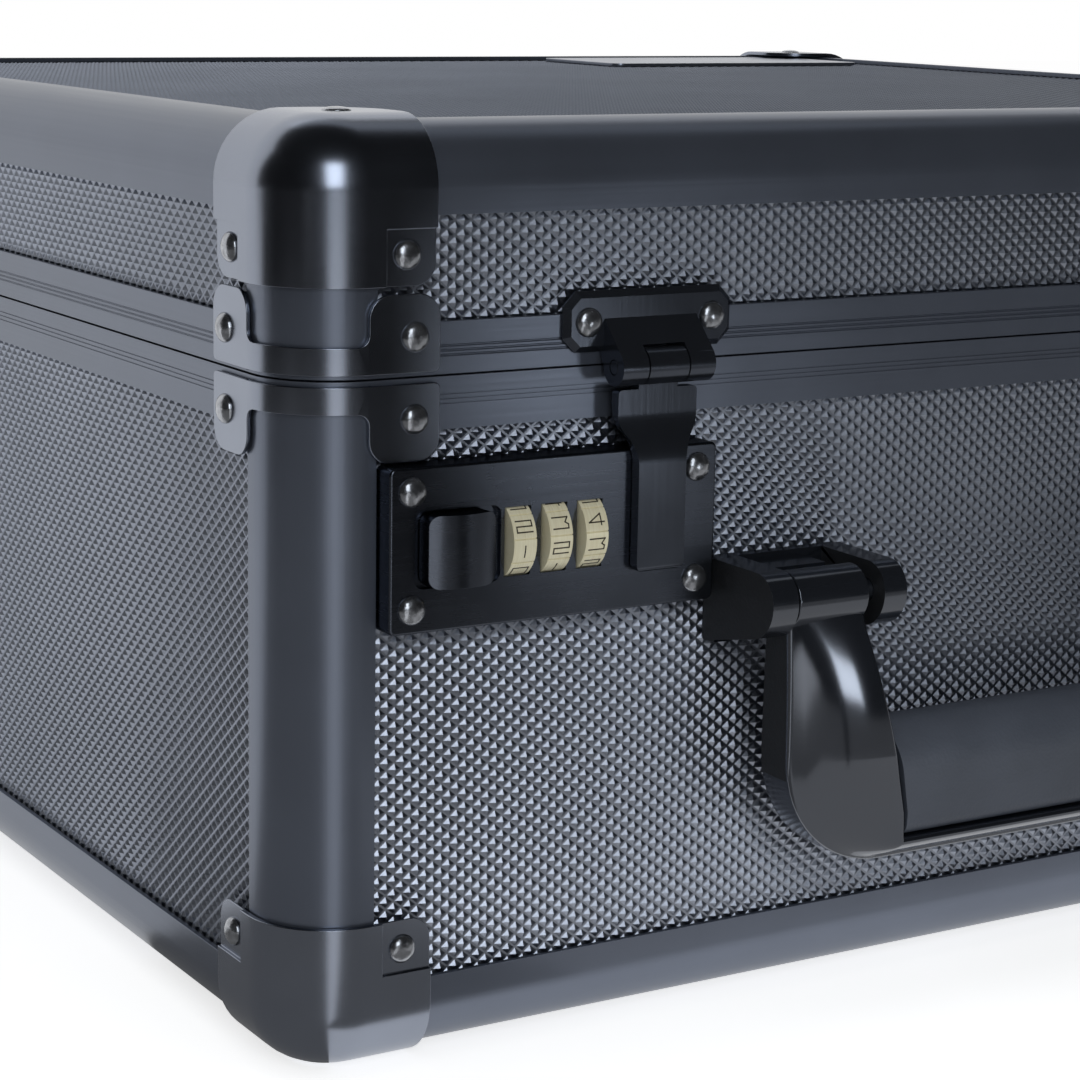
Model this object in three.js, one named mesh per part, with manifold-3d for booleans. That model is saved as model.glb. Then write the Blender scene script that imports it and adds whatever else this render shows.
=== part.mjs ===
// Trading card case: an aluminium-framed, foam-lined case with a hinged lid, two combination
// latches and a folding carry handle. Millimetres, +Z up, the front faces -Y.
// The case stands on the flat undersides of its four lower ball corners, at z = 0.
import * as THREE from 'three';
import { mergeVertices } from 'three/addons/utils/BufferGeometryUtils.js';
import Module from 'manifold-3d';

const wasm = await Module();
wasm.setup();

// Case body, measured over the aluminium frame
const caseWidth = 306;
const caseDepth = 280;
const bodyHeight = 163;
const lidHeight = 42;
const postRadius = 14;
const edgeRadius = 11;
const edgeLeg = 15.2;
const edgeFlange = 13;
const postLeg = 16.1;
const lipWall = 1;
const innerWall = 1;
const edgeGroove = 9.6;
const postGroove = 12.4;
const panelThickness = 5;
const fitGap = 0.25;
const overrun = 4;

// Rims that close on each other at the seam, with a tongue on the base
const rimHeight = 9;
const rimWeb = 1.4;
const tongueWall = 1.2;
const tongueHeight = 4;
const seamGap = 0.3;

// Ball corners and the brackets that tie the rims round each upright edge
const cornerProud = 1.2;
const cornerWall = 0.95;
const cornerReach = 26.7;
const cornerFillet = 4;
const flapStart = 17.2;
const flapDrop = 0.45;
const flapRivetInset = 5.5;
const crownRivetInset = 17;
const bracketProud = 1;
const bracketStart = 14.1;
const bracketReach = 27.4;
const bandHeight = 4.7;
const bandSetback = 0.9;
const tabHeight = 13.2;
const bracketFillet = 4;
const bracketRivetInset = 4.8;
const bracketRivetDrop = 6;
const rivetRadius = 2.55;
const rivetHeight = 1.5;
const crownRivetHeight = 0.9;

// Foam lining: one tray with card rows, and a pad in the lid
const rowWidth = 87;
const rowSideWall = 6.5;
const rowFrontWall = 10.4;
const rowBackWall = 8;
const rowFillet = 3;
const trayInset = 9.3;
const trayTopDrop = 0.6;
const trayFloor = 6.5;
const lockRelief = 4.6;
const lidFoamThickness = 5.4;

// Combination latches, each placed by the side of its plate nearest the case's end
const plateInset = 16.4;
const plateWidth = 65.3;
const plateHeight = 28.5;
const plateDrop = 14.4;
const plateProud = 4.2;
const plateFillet = 1;
const plateRivetInset = 4.2;
const housingWidth = 50;
const housingInset = 8;
const housingHeight = 21.6;
const housingDepth = 12.2;
const dialCount = 3;
const dialRadius = 7;
const dialWidth = 4.5;
const dialPitch = 7.2;
const dialStart = 24.6;
const dialSink = 4.2;
const dialClearance = 0.3;
const axleRadius = 1.5;
const buttonWidth = 12.9;
const buttonHeight = 12.6;
const buttonStart = 6.1;
const buttonProud = 3.8;
const buttonTravel = 2;
const buttonClearance = 0.3;
const recessDepth = 1.3;
const recessSide = 1.3;
const recessFloor = 0.8;
const boltThickness = 1.6;
const boltHeight = 3;
const boltRise = 6.8;
const stemWidth = 6;
const stemHeight = 4;
const noseWidth = 2.4;

// Hasp and the strike that carries it on the lid
const haspCentre = 52.3;
const knuckleRadius = 3.3;
const knuckleProud = 4.9;
const haspKnuckle = 8;
const haspHeadWidth = 16.2;
const haspTailWidth = 9.8;
const haspThickness = 2.2;
const haspLength = 36.1;
const haspShoulderDrop = 12.4;
const haspHeadDrop = 10.4;
const haspHeadGap = 4;
const haspHeadProud = 2.3;
const haspFillet = 1.5;
const keeperWidth = 4.8;
const keeperHeight = 3;
const keeperRise = 1;
const keeperDepth = 3.3;
const keeperSideGap = 0.3;
const keeperSwingGap = 0.8;
const strikeWidth = 34.6;
const strikeHeight = 10.6;
const strikeRise = 2.4;
const strikeThickness = 1.4;
const strikeChamfer = 2.5;
const strikeRivetInset = 4.6;
const strikeEar = 5.2;
const strikeWindow = 3.8;
const strikePinRadius = 1.3;
const pinGap = 0.1;

// Handle bracket, frame and grip
const bracketSpacing = 1.6;
const bracketWidth = 29.4;
const outerEar = 5.5;
const innerEar = 5;
const pivotProud = 15.2;
const pivotDrop = 41.6;
const earRadius = 5.4;
const bracketRise = 5.4;
const bracketSink = 10.3;
const bracketWall = 2.4;
const bridgeReach = 9.3;
const bridgeThickness = 3.6;
const bridgeNotch = 5;
const handlePinRadius = 2;
const handlePinGrip = 3.6;
const barrelRadius = 5.2;
const barrelWidth = 15.4;
const handleDrop = 50.2;
const handleCorner = 21.5;
const barHeight = 5.2;
const armBendDrop = 27.6;
const armBendWidth = 20.4;
const armBendRadius = 24;
const armFootDrop = 40.2;
const armFootWidth = 22.9;
const gripHeight = 20.55;
const gripFront = 24.6;
const gripBack = 8.6;
const gripFillet = 6.5;
const handleFront = 22.6;
const handleBack = 9.6;
const handleBevel = 2.4;
const gripStub = 3;
const gripStubRadius = 3.6;

// Rear hinges
const hingeInset = 68;
const hingeWidth = 38;
const hingeLeaf = 22;
const hingeLeafWall = 1.4;
const hingeProud = 4.2;
const hingeKnuckle = 3;
const hingePinRadius = 1.5;
const hingeMiddle = 13;
const hingeFillet = 3;
const hingeRivetInset = 6;

// Bare name plate on the lid
const nameWidth = 80;
const nameDepth = 38;
const nameThickness = 0.8;
const nameFillet = 3;
const nameInsetX = 61;
const nameInsetY = 36;

// Facet counts and shares
const arcSteps = 5;
const filletSteps = 2;
const bevelSteps = 4;
const pinSides = 12;
const dialSides = 32;
const rivetSides = 10;
const rivetRings = 2;
const rivetSinkShare = 0.3;
const shelfRiseShare = 0.55;

// Levels and layers worked out from the sizes above
const left = -caseWidth / 2;
const front = -caseDepth / 2;
const bodyFoot = cornerProud;
const bodyTop = bodyFoot + bodyHeight;
const seam = bodyTop - lidHeight;
const panelOuter = lipWall + fitGap;
const panelInner = panelOuter + panelThickness;
const wallInner = panelInner + fitGap;
const frameInner = wallInner + innerWall;
const tongueOuter = frameInner + fitGap;
const tongueInner = tongueOuter + tongueWall;
const baseRimTop = seam - seamGap / 2;
const lidRimFoot = seam + seamGap / 2;
const baseWebFoot = baseRimTop - rimWeb;
const lidWebTop = lidRimFoot + rimWeb;
const plateFoot = seam - plateDrop - plateHeight;
const strikeFoot = seam + strikeRise;

// Materials
function finish(name, color, roughness, metalness) {
  return new THREE.MeshStandardMaterial({ name, color, roughness, metalness });
}
const anodised = finish('black_anodised_aluminium', 0x2b2c32, 0.42, 0.8);
const texturedSheet = finish('diamond_textured_panel', 0x4a4b52, 0.5, 0.6);
const boardSheet = finish('panel_board', 0x34353a, 0.6, 0.3);
const satinSteel = finish('black_corner_steel', 0x1d1e23, 0.35, 0.7);
const glossSteel = finish('black_lock_metal', 0x17181d, 0.28, 0.75);
const glossPlastic = finish('gloss_black_plastic', 0x14151a, 0.12, 0);
const softGrip = finish('soft_touch_grip', 0x2a2c33, 0.6, 0);
const dialBrass = finish('dial_brass', 0xb99a5b, 0.35, 0.85);
const foam = finish('black_foam', 0x18181a, 0.95, 0);
const barePlate = finish('bare_name_plate', 0xb9bcc2, 0.3, 0.9);

// Solids
function solid(geometry) {
  const bare = geometry.clone();
  bare.deleteAttribute('normal');
  bare.deleteAttribute('uv');
  const merged = mergeVertices(bare);
  return new wasm.Manifold(new wasm.Mesh({
    numProp: 3,
    vertProperties: Float32Array.from(merged.attributes.position.array),
    triVerts: Uint32Array.from(merged.index.array),
  }));
}

function geometryOf(manifold) {
  const mesh = manifold.getMesh();
  const geometry = new THREE.BufferGeometry();
  geometry.setAttribute('position', new THREE.BufferAttribute(new Float32Array(mesh.vertProperties), 3));
  geometry.setIndex(new THREE.BufferAttribute(new Uint32Array(mesh.triVerts), 1));
  geometry.computeVertexNormals();
  return geometry;
}

function join(...pieces) {
  return pieces.reduce((whole, piece) => whole.add(piece));
}

function cut(whole, ...tools) {
  return tools.reduce((rest, tool) => rest.subtract(tool), whole);
}

// A copy turned over left to right, front to back or top to bottom about a plane of the case.
function mirrored(geometry, axis, plane = 0) {
  const copy = geometry.clone();
  const place = copy.attributes.position;
  const read = { x: 'getX', y: 'getY', z: 'getZ' }[axis];
  const write = { x: 'setX', y: 'setY', z: 'setZ' }[axis];
  for (let vertex = 0; vertex < place.count; vertex += 1) {
    place[write](vertex, 2 * plane - place[read](vertex));
  }
  const order = copy.index.array;
  for (let corner = 0; corner < order.length; corner += 3) {
    [order[corner], order[corner + 1]] = [order[corner + 1], order[corner]];
  }
  copy.computeVertexNormals();
  return copy;
}

// A closed outline through the given corners, each [x, y, fillet radius].
function outline(corners) {
  const points = [];
  const count = corners.length;
  corners.forEach(([x, y, radius = 0], index) => {
    const here = new THREE.Vector2(x, y);
    if (radius === 0) {
      points.push(here);
      return;
    }
    const [beforeX, beforeY] = corners[(index + count - 1) % count];
    const [afterX, afterY] = corners[(index + 1) % count];
    const toBefore = new THREE.Vector2(beforeX - x, beforeY - y).normalize();
    const toAfter = new THREE.Vector2(afterX - x, afterY - y).normalize();
    const half = Math.acos(toBefore.dot(toAfter)) / 2;
    const centre = toBefore.clone().add(toAfter).normalize();
    centre.multiplyScalar(radius / Math.sin(half)).add(here);
    const reach = radius / Math.tan(half);
    const from = toBefore.multiplyScalar(reach).add(here).sub(centre);
    const to = toAfter.multiplyScalar(reach).add(here).sub(centre);
    const start = from.angle();
    let turn = to.angle() - start;
    if (turn > Math.PI) turn -= 2 * Math.PI;
    if (turn < -Math.PI) turn += 2 * Math.PI;
    const steps = radius > postRadius / 2 ? arcSteps : filletSteps;
    for (let step = 0; step <= steps; step += 1) {
      const angle = start + (turn * step) / steps;
      points.push(new THREE.Vector2(
        centre.x + radius * Math.cos(angle),
        centre.y + radius * Math.sin(angle),
      ));
    }
  });
  return new THREE.Shape(points);
}

function extrude(shape, depth) {
  return new THREE.ExtrudeGeometry(shape, { depth, bevelEnabled: false });
}

// Plates drawn as seen from above (x, y), from the front (x, z) and from the side (y, z).
function planPlate(corners, z0, z1) {
  return solid(extrude(outline(corners), z1 - z0).translate(0, 0, z0));
}

function frontPlate(corners, y0, y1) {
  return solid(extrude(outline(corners), y1 - y0).rotateX(Math.PI / 2).translate(0, y1, 0));
}

function sidePlate(corners, x0, x1) {
  const body = extrude(outline(corners), x1 - x0);
  return solid(body.rotateX(Math.PI / 2).rotateZ(Math.PI / 2).translate(x0, 0, 0));
}

function rectangle(x0, x1, y0, y1, radius = 0) {
  return [[x0, y0, radius], [x1, y0, radius], [x1, y1, radius], [x0, y1, radius]];
}

function box(x0, x1, y0, y1, z0, z1) {
  const block = new THREE.BoxGeometry(x1 - x0, y1 - y0, z1 - z0);
  return solid(block.translate((x0 + x1) / 2, (y0 + y1) / 2, (z0 + z1) / 2));
}

// A round bar along X.
function crossBar(radius, sides, x0, x1, y, z) {
  const bar = new THREE.CylinderGeometry(radius, radius, x1 - x0, sides);
  return solid(bar.rotateZ(Math.PI / 2).translate((x0 + x1) / 2, y, z));
}

// A domed rivet head that bulges towards -Y before it is turned.
function rivetDome(radius, height) {
  const sink = height * rivetSinkShare;
  const profile = [new THREE.Vector2(0, -sink), new THREE.Vector2(radius, -sink)];
  for (let ring = 0; ring < rivetRings; ring += 1) {
    const angle = (ring / rivetRings) * (Math.PI / 2);
    profile.push(new THREE.Vector2(radius * Math.cos(angle), height * Math.sin(angle)));
  }
  profile.push(new THREE.Vector2(0, height));
  return new THREE.LatheGeometry(profile, rivetSides).rotateX(Math.PI);
}

function frontRivet(x, y, z) {
  return solid(rivetDome(rivetRadius, rivetHeight).translate(x, y, z));
}

function leftRivet(x, y, z) {
  return solid(rivetDome(rivetRadius, rivetHeight).rotateZ(-Math.PI / 2).translate(x, y, z));
}

function rearRivet(x, y, z) {
  return solid(rivetDome(rivetRadius, rivetHeight).rotateZ(Math.PI).translate(x, y, z));
}

// A prism that follows the case's plan outline at one depth in from the frame's outer face.
function prism(inset, z0, z1) {
  const radius = Math.max(postRadius - inset, fitGap);
  const halfWidth = caseWidth / 2 - inset;
  const halfDepth = caseDepth / 2 - inset;
  return planPlate(rectangle(-halfWidth, halfWidth, -halfDepth, halfDepth, radius), z0, z1);
}

function ring(outer, inner, z0, z1) {
  return cut(prism(outer, z0, z1), prism(inner, z0 - overrun, z1 + overrun));
}

// The whole body as one block with rounded uprights and rounded edges, offset outwards.
function roundedBody(offset) {
  const halfWidth = caseWidth / 2 + offset;
  const halfDepth = caseDepth / 2 + offset;
  const bevel = edgeRadius + offset;
  const plan = outline(rectangle(-halfWidth, halfWidth, -halfDepth, halfDepth, postRadius + offset));
  const block = new THREE.ExtrudeGeometry(plan, {
    depth: bodyHeight + 2 * offset - 2 * bevel,
    bevelEnabled: true,
    bevelThickness: bevel,
    bevelSize: bevel,
    bevelOffset: -bevel,
    bevelSegments: bevelSteps,
  });
  return solid(block.translate(0, 0, bodyFoot - offset + bevel));
}

const all = new THREE.Group();

function addPiece(group, name, geometry, material) {
  const mesh = new THREE.Mesh(geometry, material);
  mesh.name = name;
  group.add(mesh);
}

// Four copies of a front left piece, one at each upright edge of the case.
function addAtFourCorners(group, name, geometry, material) {
  const right = mirrored(geometry, 'x');
  addPiece(group, `${name}_front_left`, geometry, material);
  addPiece(group, `${name}_front_right`, right, material);
  addPiece(group, `${name}_back_left`, mirrored(geometry, 'y'), material);
  addPiece(group, `${name}_back_right`, mirrored(right, 'y'), material);
}

function addLeftAndRight(group, name, geometry, material) {
  addPiece(group, `${name}_left`, geometry, material);
  addPiece(group, `${name}_right`, mirrored(geometry, 'x'), material);
}

const base = new THREE.Group();
const lid = new THREE.Group();
const handle = new THREE.Group();
const latches = new THREE.Group();
all.add(base, lid, handle, latches);

// Edge profiles: one closed frame round the floor and one round the lid's top
function edgeFrame() {
  const legTop = bodyFoot + edgeLeg;
  const slice = prism(-overrun, bodyFoot - overrun, legTop);
  return cut(
    roundedBody(0).intersect(slice),
    prism(edgeFlange, bodyFoot - overrun, legTop + overrun),
    prism(frameInner, bodyFoot + frameInner, legTop + overrun),
    ring(lipWall, wallInner, bodyFoot + edgeGroove, legTop + overrun),
    prism(edgeGroove, bodyFoot + lipWall, bodyFoot + wallInner),
  );
}

const middleHeight = bodyFoot + bodyHeight / 2;
const baseFrame = geometryOf(edgeFrame());
addPiece(base, 'base_edge_frame', baseFrame, anodised);

// On the lid the short corner posts are one piece with the frame that they carry
function cornerSquares(reach, z0, z1) {
  const right = left + caseWidth;
  const back = front + caseDepth;
  return join(
    box(left - overrun, left + reach, front - overrun, front + reach, z0, z1),
    box(right - reach, right + overrun, front - overrun, front + reach, z0, z1),
    box(left - overrun, left + reach, back - reach, back + overrun, z0, z1),
    box(right - reach, right + overrun, back - reach, back + overrun, z0, z1),
  );
}

const lidPostFoot = lidWebTop + fitGap;
const lidPostTop = bodyTop - postRadius;
const lidPosts = ring(0, lipWall, lidPostFoot, lidPostTop)
  .intersect(cornerSquares(postLeg, lidPostFoot, lidPostTop));
const lidFrame = solid(mirrored(baseFrame, 'z', middleHeight));
addPiece(lid, 'lid_edge_frame', geometryOf(join(lidFrame, lidPosts)), anodised);

// Corner posts of the base: quarter-round extrusions with a groove for each side panel
const postFoot = bodyFoot + edgeLeg + fitGap;
const postTop = baseWebFoot - fitGap;
const postSection = [
  [postLeg, 0], [postLeg, lipWall], [postGroove, lipWall], [postGroove, wallInner],
  [postLeg, wallInner], [postLeg, frameInner], [frameInner, frameInner], [frameInner, postLeg],
  [wallInner, postLeg], [wallInner, postGroove], [lipWall, postGroove], [lipWall, postLeg],
  [0, postLeg], [0, 0, postRadius],
].map(([x, y, radius]) => [left + x, front + y, radius]);
addAtFourCorners(base, 'base_corner_post', geometryOf(planPlate(postSection, postFoot, postTop)), anodised);

// Panels: textured aluminium skin bonded to board, held in the grooves
const endGap = postGroove + fitGap;
const floorGap = edgeGroove + fitGap;
const wallFoot = bodyFoot + floorGap;
const housingLeft = left + plateInset + housingInset;
const housingFoot = plateFoot + (plateHeight - housingHeight) / 2;

function sidePanel() {
  const halfDepth = caseDepth / 2 - endGap;
  return box(left + panelOuter, left + panelInner, -halfDepth, halfDepth, wallFoot, postTop);
}

function frontPanel() {
  const halfWidth = caseWidth / 2 - endGap;
  return box(-halfWidth, halfWidth, front + panelOuter, front + panelInner, wallFoot, postTop);
}

function lockCutout() {
  return box(
    housingLeft - fitGap, housingLeft + housingWidth + fitGap,
    front - overrun, front + panelInner + overrun,
    housingFoot - fitGap, housingFoot + housingHeight + fitGap,
  );
}

const leftCutout = geometryOf(lockCutout());
const rightCutout = mirrored(leftCutout, 'x');
const plainPanel = geometryOf(frontPanel());
addPiece(base, 'base_panel_front',
  geometryOf(cut(frontPanel(), solid(leftCutout), solid(rightCutout))), texturedSheet);
addPiece(base, 'base_panel_back', mirrored(plainPanel, 'y'), texturedSheet);
addLeftAndRight(base, 'base_panel', geometryOf(sidePanel()), texturedSheet);
const floorPanel = geometryOf(prism(floorGap, bodyFoot + panelOuter, bodyFoot + panelInner));
addPiece(base, 'base_panel_bottom', floorPanel, boardSheet);
addPiece(lid, 'lid_panel_top', mirrored(floorPanel, 'z', middleHeight), texturedSheet);
addPiece(lid, 'lid_wall_band',
  geometryOf(ring(panelOuter, panelInner, lidPostFoot, bodyTop - floorGap)), texturedSheet);

// Rims: closing profiles that cap the walls and interlock at the seam
function baseRim() {
  const foot = baseRimTop - rimHeight;
  return cut(
    join(
      ring(0, tongueInner, baseWebFoot, baseRimTop),
      ring(0, frameInner, foot, baseRimTop),
      ring(tongueOuter, tongueInner, baseWebFoot, seam + tongueHeight),
    ),
    ring(lipWall, wallInner, foot - overrun, baseWebFoot),
    cornerSquares(postLeg + fitGap, foot - overrun, baseWebFoot),
  );
}

function lidRim() {
  const crest = lidRimFoot + rimHeight;
  return cut(
    ring(0, frameInner, lidRimFoot, crest),
    ring(lipWall, wallInner, lidWebTop, crest + overrun),
    cornerSquares(postLeg + fitGap, lidWebTop, crest + overrun),
  );
}
addPiece(base, 'base_rim', geometryOf(baseRim()), anodised);
addPiece(lid, 'lid_rim', geometryOf(lidRim()), anodised);

// Ball corners: pressed steel caps with two riveted flaps
function ballCorner(withCrownRivet) {
  const right = left + cornerReach;
  const back = front + cornerReach;
  const top = bodyFoot + cornerReach;
  const flapFoot = top - (cornerReach - flapStart);
  const lowest = bodyFoot - overrun;
  const shell = cut(roundedBody(cornerProud), roundedBody(cornerProud - cornerWall));
  const trimmed = shell
    .intersect(frontPlate([
      [left - overrun, lowest], [right, lowest], [right, top, cornerFillet], [left - overrun, top],
    ], front - overrun, back))
    .intersect(sidePlate([
      [front - overrun, lowest], [back, lowest], [back, top, cornerFillet], [front - overrun, top],
    ], left - overrun, right))
    .intersect(planPlate([
      [left - overrun, front - overrun], [right, front - overrun], [right, back, edgeRadius],
      [left - overrun, back],
    ], lowest, top));
  const flapOut = cornerProud - flapDrop;
  const frontFlap = box(left + flapStart, right + overrun, front - overrun, front - flapOut,
    flapFoot, top + overrun);
  const leftFlap = box(left - overrun, left - flapOut, front + flapStart, back + overrun,
    flapFoot, top + overrun);
  const rivetAlong = cornerReach - flapRivetInset;
  const rivetHeightAbove = bodyFoot + cornerReach - flapRivetInset + fitGap;
  const pieces = [
    cut(trimmed, frontFlap, leftFlap),
    frontRivet(left + rivetAlong, front - flapOut, rivetHeightAbove),
    leftRivet(left - flapOut, front + rivetAlong, rivetHeightAbove),
  ];
  if (withCrownRivet) {
    const dome = rivetDome(rivetRadius, crownRivetHeight).rotateX(Math.PI / 2);
    pieces.push(solid(dome.translate(left + crownRivetInset, front + crownRivetInset,
      bodyFoot - cornerProud)));
  }
  return geometryOf(join(...pieces));
}
addAtFourCorners(base, 'base_ball_corner', ballCorner(false), satinSteel);
addAtFourCorners(lid, 'lid_ball_corner', mirrored(ballCorner(true), 'z', middleHeight), satinSteel);

// Rim brackets: a band round the upright edge with a riveted tab on each side
function rimBracket() {
  const bandTop = seam - bandSetback;
  const bandFoot = bandTop - bandHeight;
  const tabFoot = bandTop - tabHeight;
  const skin = ring(-bracketProud, -fitGap, tabFoot - overrun, bandTop + overrun);
  const tabOutline = (origin) => [
    [origin - overrun, bandTop], [origin + bracketReach, bandTop, bracketProud],
    [origin + bracketReach, tabFoot, bracketFillet], [origin + bracketStart, tabFoot, bracketFillet],
    [origin + bracketStart, bandFoot, bracketFillet / 2], [origin - overrun, bandFoot],
  ];
  const frontHalf = frontPlate(tabOutline(left), front - overrun, front + bracketStart);
  const leftHalf = sidePlate(tabOutline(front), left - overrun, left + bracketStart);
  const along = bracketReach - bracketRivetInset;
  const height = bandTop - bracketRivetDrop;
  return geometryOf(join(
    skin.intersect(join(frontHalf, leftHalf)),
    frontRivet(left + along, front - bracketProud, height),
    leftRivet(left - bracketProud, front + along, height),
  ));
}
const baseBracket = rimBracket();
addAtFourCorners(base, 'base_rim_bracket', baseBracket, satinSteel);
addAtFourCorners(lid, 'lid_rim_bracket', mirrored(baseBracket, 'z', seam), satinSteel);

// Foam: a tray with rows for upright cards, notched for the lock housings, and a lid pad
function cardTray() {
  const foot = bodyFoot + frameInner + fitGap;
  const top = baseRimTop - trayTopDrop;
  const inside = caseWidth - 2 * trayInset;
  const rowCount = Math.floor((inside - rowSideWall) / (rowWidth + rowSideWall));
  const pitch = (inside + rowWidth) / (rowCount + 1);
  const rowFront = front + trayInset + rowFrontWall;
  const rowBack = caseDepth / 2 - trayInset - rowBackWall;
  const rows = [];
  for (let row = 0; row < rowCount; row += 1) {
    const centre = (row - (rowCount - 1) / 2) * pitch;
    const plan = rectangle(centre - rowWidth / 2, centre + rowWidth / 2,
      rowFront, rowBack, rowFillet);
    rows.push(planPlate(plan, foot + trayFloor, top + overrun));
  }
  const relief = box(
    housingLeft - overrun, housingLeft + housingWidth + overrun,
    front, front + trayInset + lockRelief, housingFoot - overrun, top + overrun,
  );
  const rightRelief = solid(mirrored(geometryOf(relief), 'x'));
  return geometryOf(cut(prism(trayInset, foot, top), ...rows, relief, rightRelief));
}
const lidPanelFoot = bodyTop - panelInner;
const lidFoam = prism(edgeFlange + fitGap,
  lidPanelFoot - fitGap - lidFoamThickness, lidPanelFoot - fitGap);
addPiece(base, 'card_tray', cardTray(), foam);
addPiece(lid, 'lid_foam', geometryOf(lidFoam), foam);

// Bare name plate on the lid's top
const nameCentreX = caseWidth / 2 - nameInsetX;
const nameCentreY = caseDepth / 2 - nameInsetY;
addPiece(lid, 'name_plate', geometryOf(planPlate(
  rectangle(nameCentreX - nameWidth / 2, nameCentreX + nameWidth / 2,
    nameCentreY - nameDepth / 2, nameCentreY + nameDepth / 2, nameFillet),
  bodyTop - panelOuter + fitGap, bodyTop - panelOuter + fitGap + nameThickness,
)), barePlate);

// Lock plate: a cast plate with its housing, dial pockets, bolt way and keeper channel
const plateLeft = left + plateInset;
const plateFace = front - plateProud;
const dialAxisY = plateFace + dialSink;
const dialAxisZ = plateFoot + plateHeight / 2;
const haspX = plateLeft + haspCentre;
const buttonLeft = plateLeft + buttonStart;
const buttonFoot = dialAxisZ - buttonHeight / 2;
const recessBack = plateFace + recessDepth;
const boltFront = recessBack + recessFloor + buttonClearance;
const boltBack = boltFront + boltThickness;
const boltFoot = housingFoot - boltThickness / 2;
const stemLeft = buttonLeft + buttonWidth / 4;
const stemFoot = boltFoot + boltRise;
const noseLeft = haspX + keeperWidth / 2 + 2 * keeperSideGap;
const haspFoot = seam - haspLength;
const keeperFoot = haspFoot + keeperRise;

function lockPlate() {
  const plateTop = plateFoot + plateHeight;
  const plateBack = front + lipWall;
  const plate = frontPlate(
    rectangle(plateLeft, plateLeft + plateWidth, plateFoot, plateTop, plateFillet), plateFace, plateBack);
  const housing = box(housingLeft, housingLeft + housingWidth, plateFace + plateProud / 2,
    front + housingDepth, housingFoot, housingFoot + housingHeight);
  const recess = frontPlate(rectangle(
    buttonLeft - recessSide, buttonLeft + buttonWidth + buttonTravel + buttonClearance,
    buttonFoot - buttonClearance, buttonFoot + buttonHeight + buttonClearance, plateFillet,
  ), plateFace - overrun, recessBack);
  const stemSlot = box(
    stemLeft - buttonClearance, stemLeft + stemWidth + buttonTravel + buttonClearance,
    plateFace - overrun, boltBack + buttonClearance,
    stemFoot - buttonClearance, stemFoot + stemHeight + buttonClearance,
  );
  const boltWay = join(
    box(stemLeft - buttonClearance, noseLeft + noseWidth + buttonTravel + buttonClearance,
      boltFront - buttonClearance, boltBack + buttonClearance,
      boltFoot - buttonClearance, boltFoot + boltHeight + buttonClearance),
    box(stemLeft - buttonClearance, stemLeft + stemWidth + buttonTravel + buttonClearance,
      boltFront - buttonClearance, boltBack + buttonClearance,
      boltFoot, stemFoot + stemHeight),
    box(noseLeft - buttonClearance, noseLeft + noseWidth + buttonTravel + buttonClearance,
      boltFront - buttonClearance, boltBack + buttonClearance,
      boltFoot, keeperFoot + keeperHeight + buttonClearance),
  );
  const keeperChannel = box(
    haspX - keeperWidth / 2 - keeperSideGap, haspX + keeperWidth / 2 + keeperSideGap,
    plateFace - overrun, plateFace + keeperDepth + keeperSideGap,
    keeperFoot - keeperSwingGap, plateTop + overrun,
  );
  const pockets = [];
  for (let dial = 0; dial < dialCount; dial += 1) {
    const start = plateLeft + dialStart - dialWidth / 2 + dial * dialPitch;
    pockets.push(crossBar(dialRadius + dialClearance, dialSides,
      start - dialClearance, start + dialWidth + dialClearance, dialAxisY, dialAxisZ));
  }
  const pocketsStart = plateLeft + dialStart - dialWidth / 2 - dialPitch / 4;
  const axle = crossBar(axleRadius, pinSides, pocketsStart,
    pocketsStart + dialCount * dialPitch + dialPitch / 4, dialAxisY, dialAxisZ);
  const rivets = [];
  for (const x of [plateLeft + plateRivetInset, plateLeft + plateWidth - plateRivetInset]) {
    for (const z of [plateFoot + plateRivetInset, plateTop - plateRivetInset]) {
      rivets.push(frontRivet(x, plateFace, z));
    }
  }
  const body = cut(join(plate, housing), recess, stemSlot, boltWay, keeperChannel, ...pockets);
  return geometryOf(join(body, axle, ...rivets));
}
addLeftAndRight(latches, 'lock_plate', lockPlate(), glossSteel);

// Lock button: a sliding cap whose stem and bolt run inside the plate to the keeper
function lockButton() {
  const capFront = plateFace - buttonProud;
  const cap = frontPlate(rectangle(buttonLeft, buttonLeft + buttonWidth,
    buttonFoot, buttonFoot + buttonHeight, plateFillet), capFront, recessBack - buttonClearance);
  return geometryOf(join(
    cap,
    box(stemLeft, stemLeft + stemWidth, capFront + buttonProud, boltBack,
      stemFoot, stemFoot + stemHeight),
    box(stemLeft, stemLeft + stemWidth, boltFront, boltBack, boltFoot, stemFoot + stemHeight),
    box(stemLeft, noseLeft + noseWidth, boltFront, boltBack, boltFoot, boltFoot + boltHeight),
    box(noseLeft, noseLeft + noseWidth, boltFront, boltBack, boltFoot, keeperFoot + keeperHeight),
  ));
}
addLeftAndRight(latches, 'lock_button', lockButton(), glossSteel);

// Number dials, each free to turn on the axle
for (let dial = 0; dial < dialCount; dial += 1) {
  const start = plateLeft + dialStart - dialWidth / 2 + dial * dialPitch;
  const wheel = cut(
    crossBar(dialRadius, dialSides, start, start + dialWidth, dialAxisY, dialAxisZ),
    crossBar(axleRadius + dialClearance, pinSides, start - overrun, start + dialWidth + overrun,
      dialAxisY, dialAxisZ),
  );
  const geometry = geometryOf(wheel);
  addPiece(latches, `dial_left_${dial + 1}`, geometry, dialBrass);
  addPiece(latches, `dial_right_${dial + 1}`, mirrored(geometry, 'x'), dialBrass);
}

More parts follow.
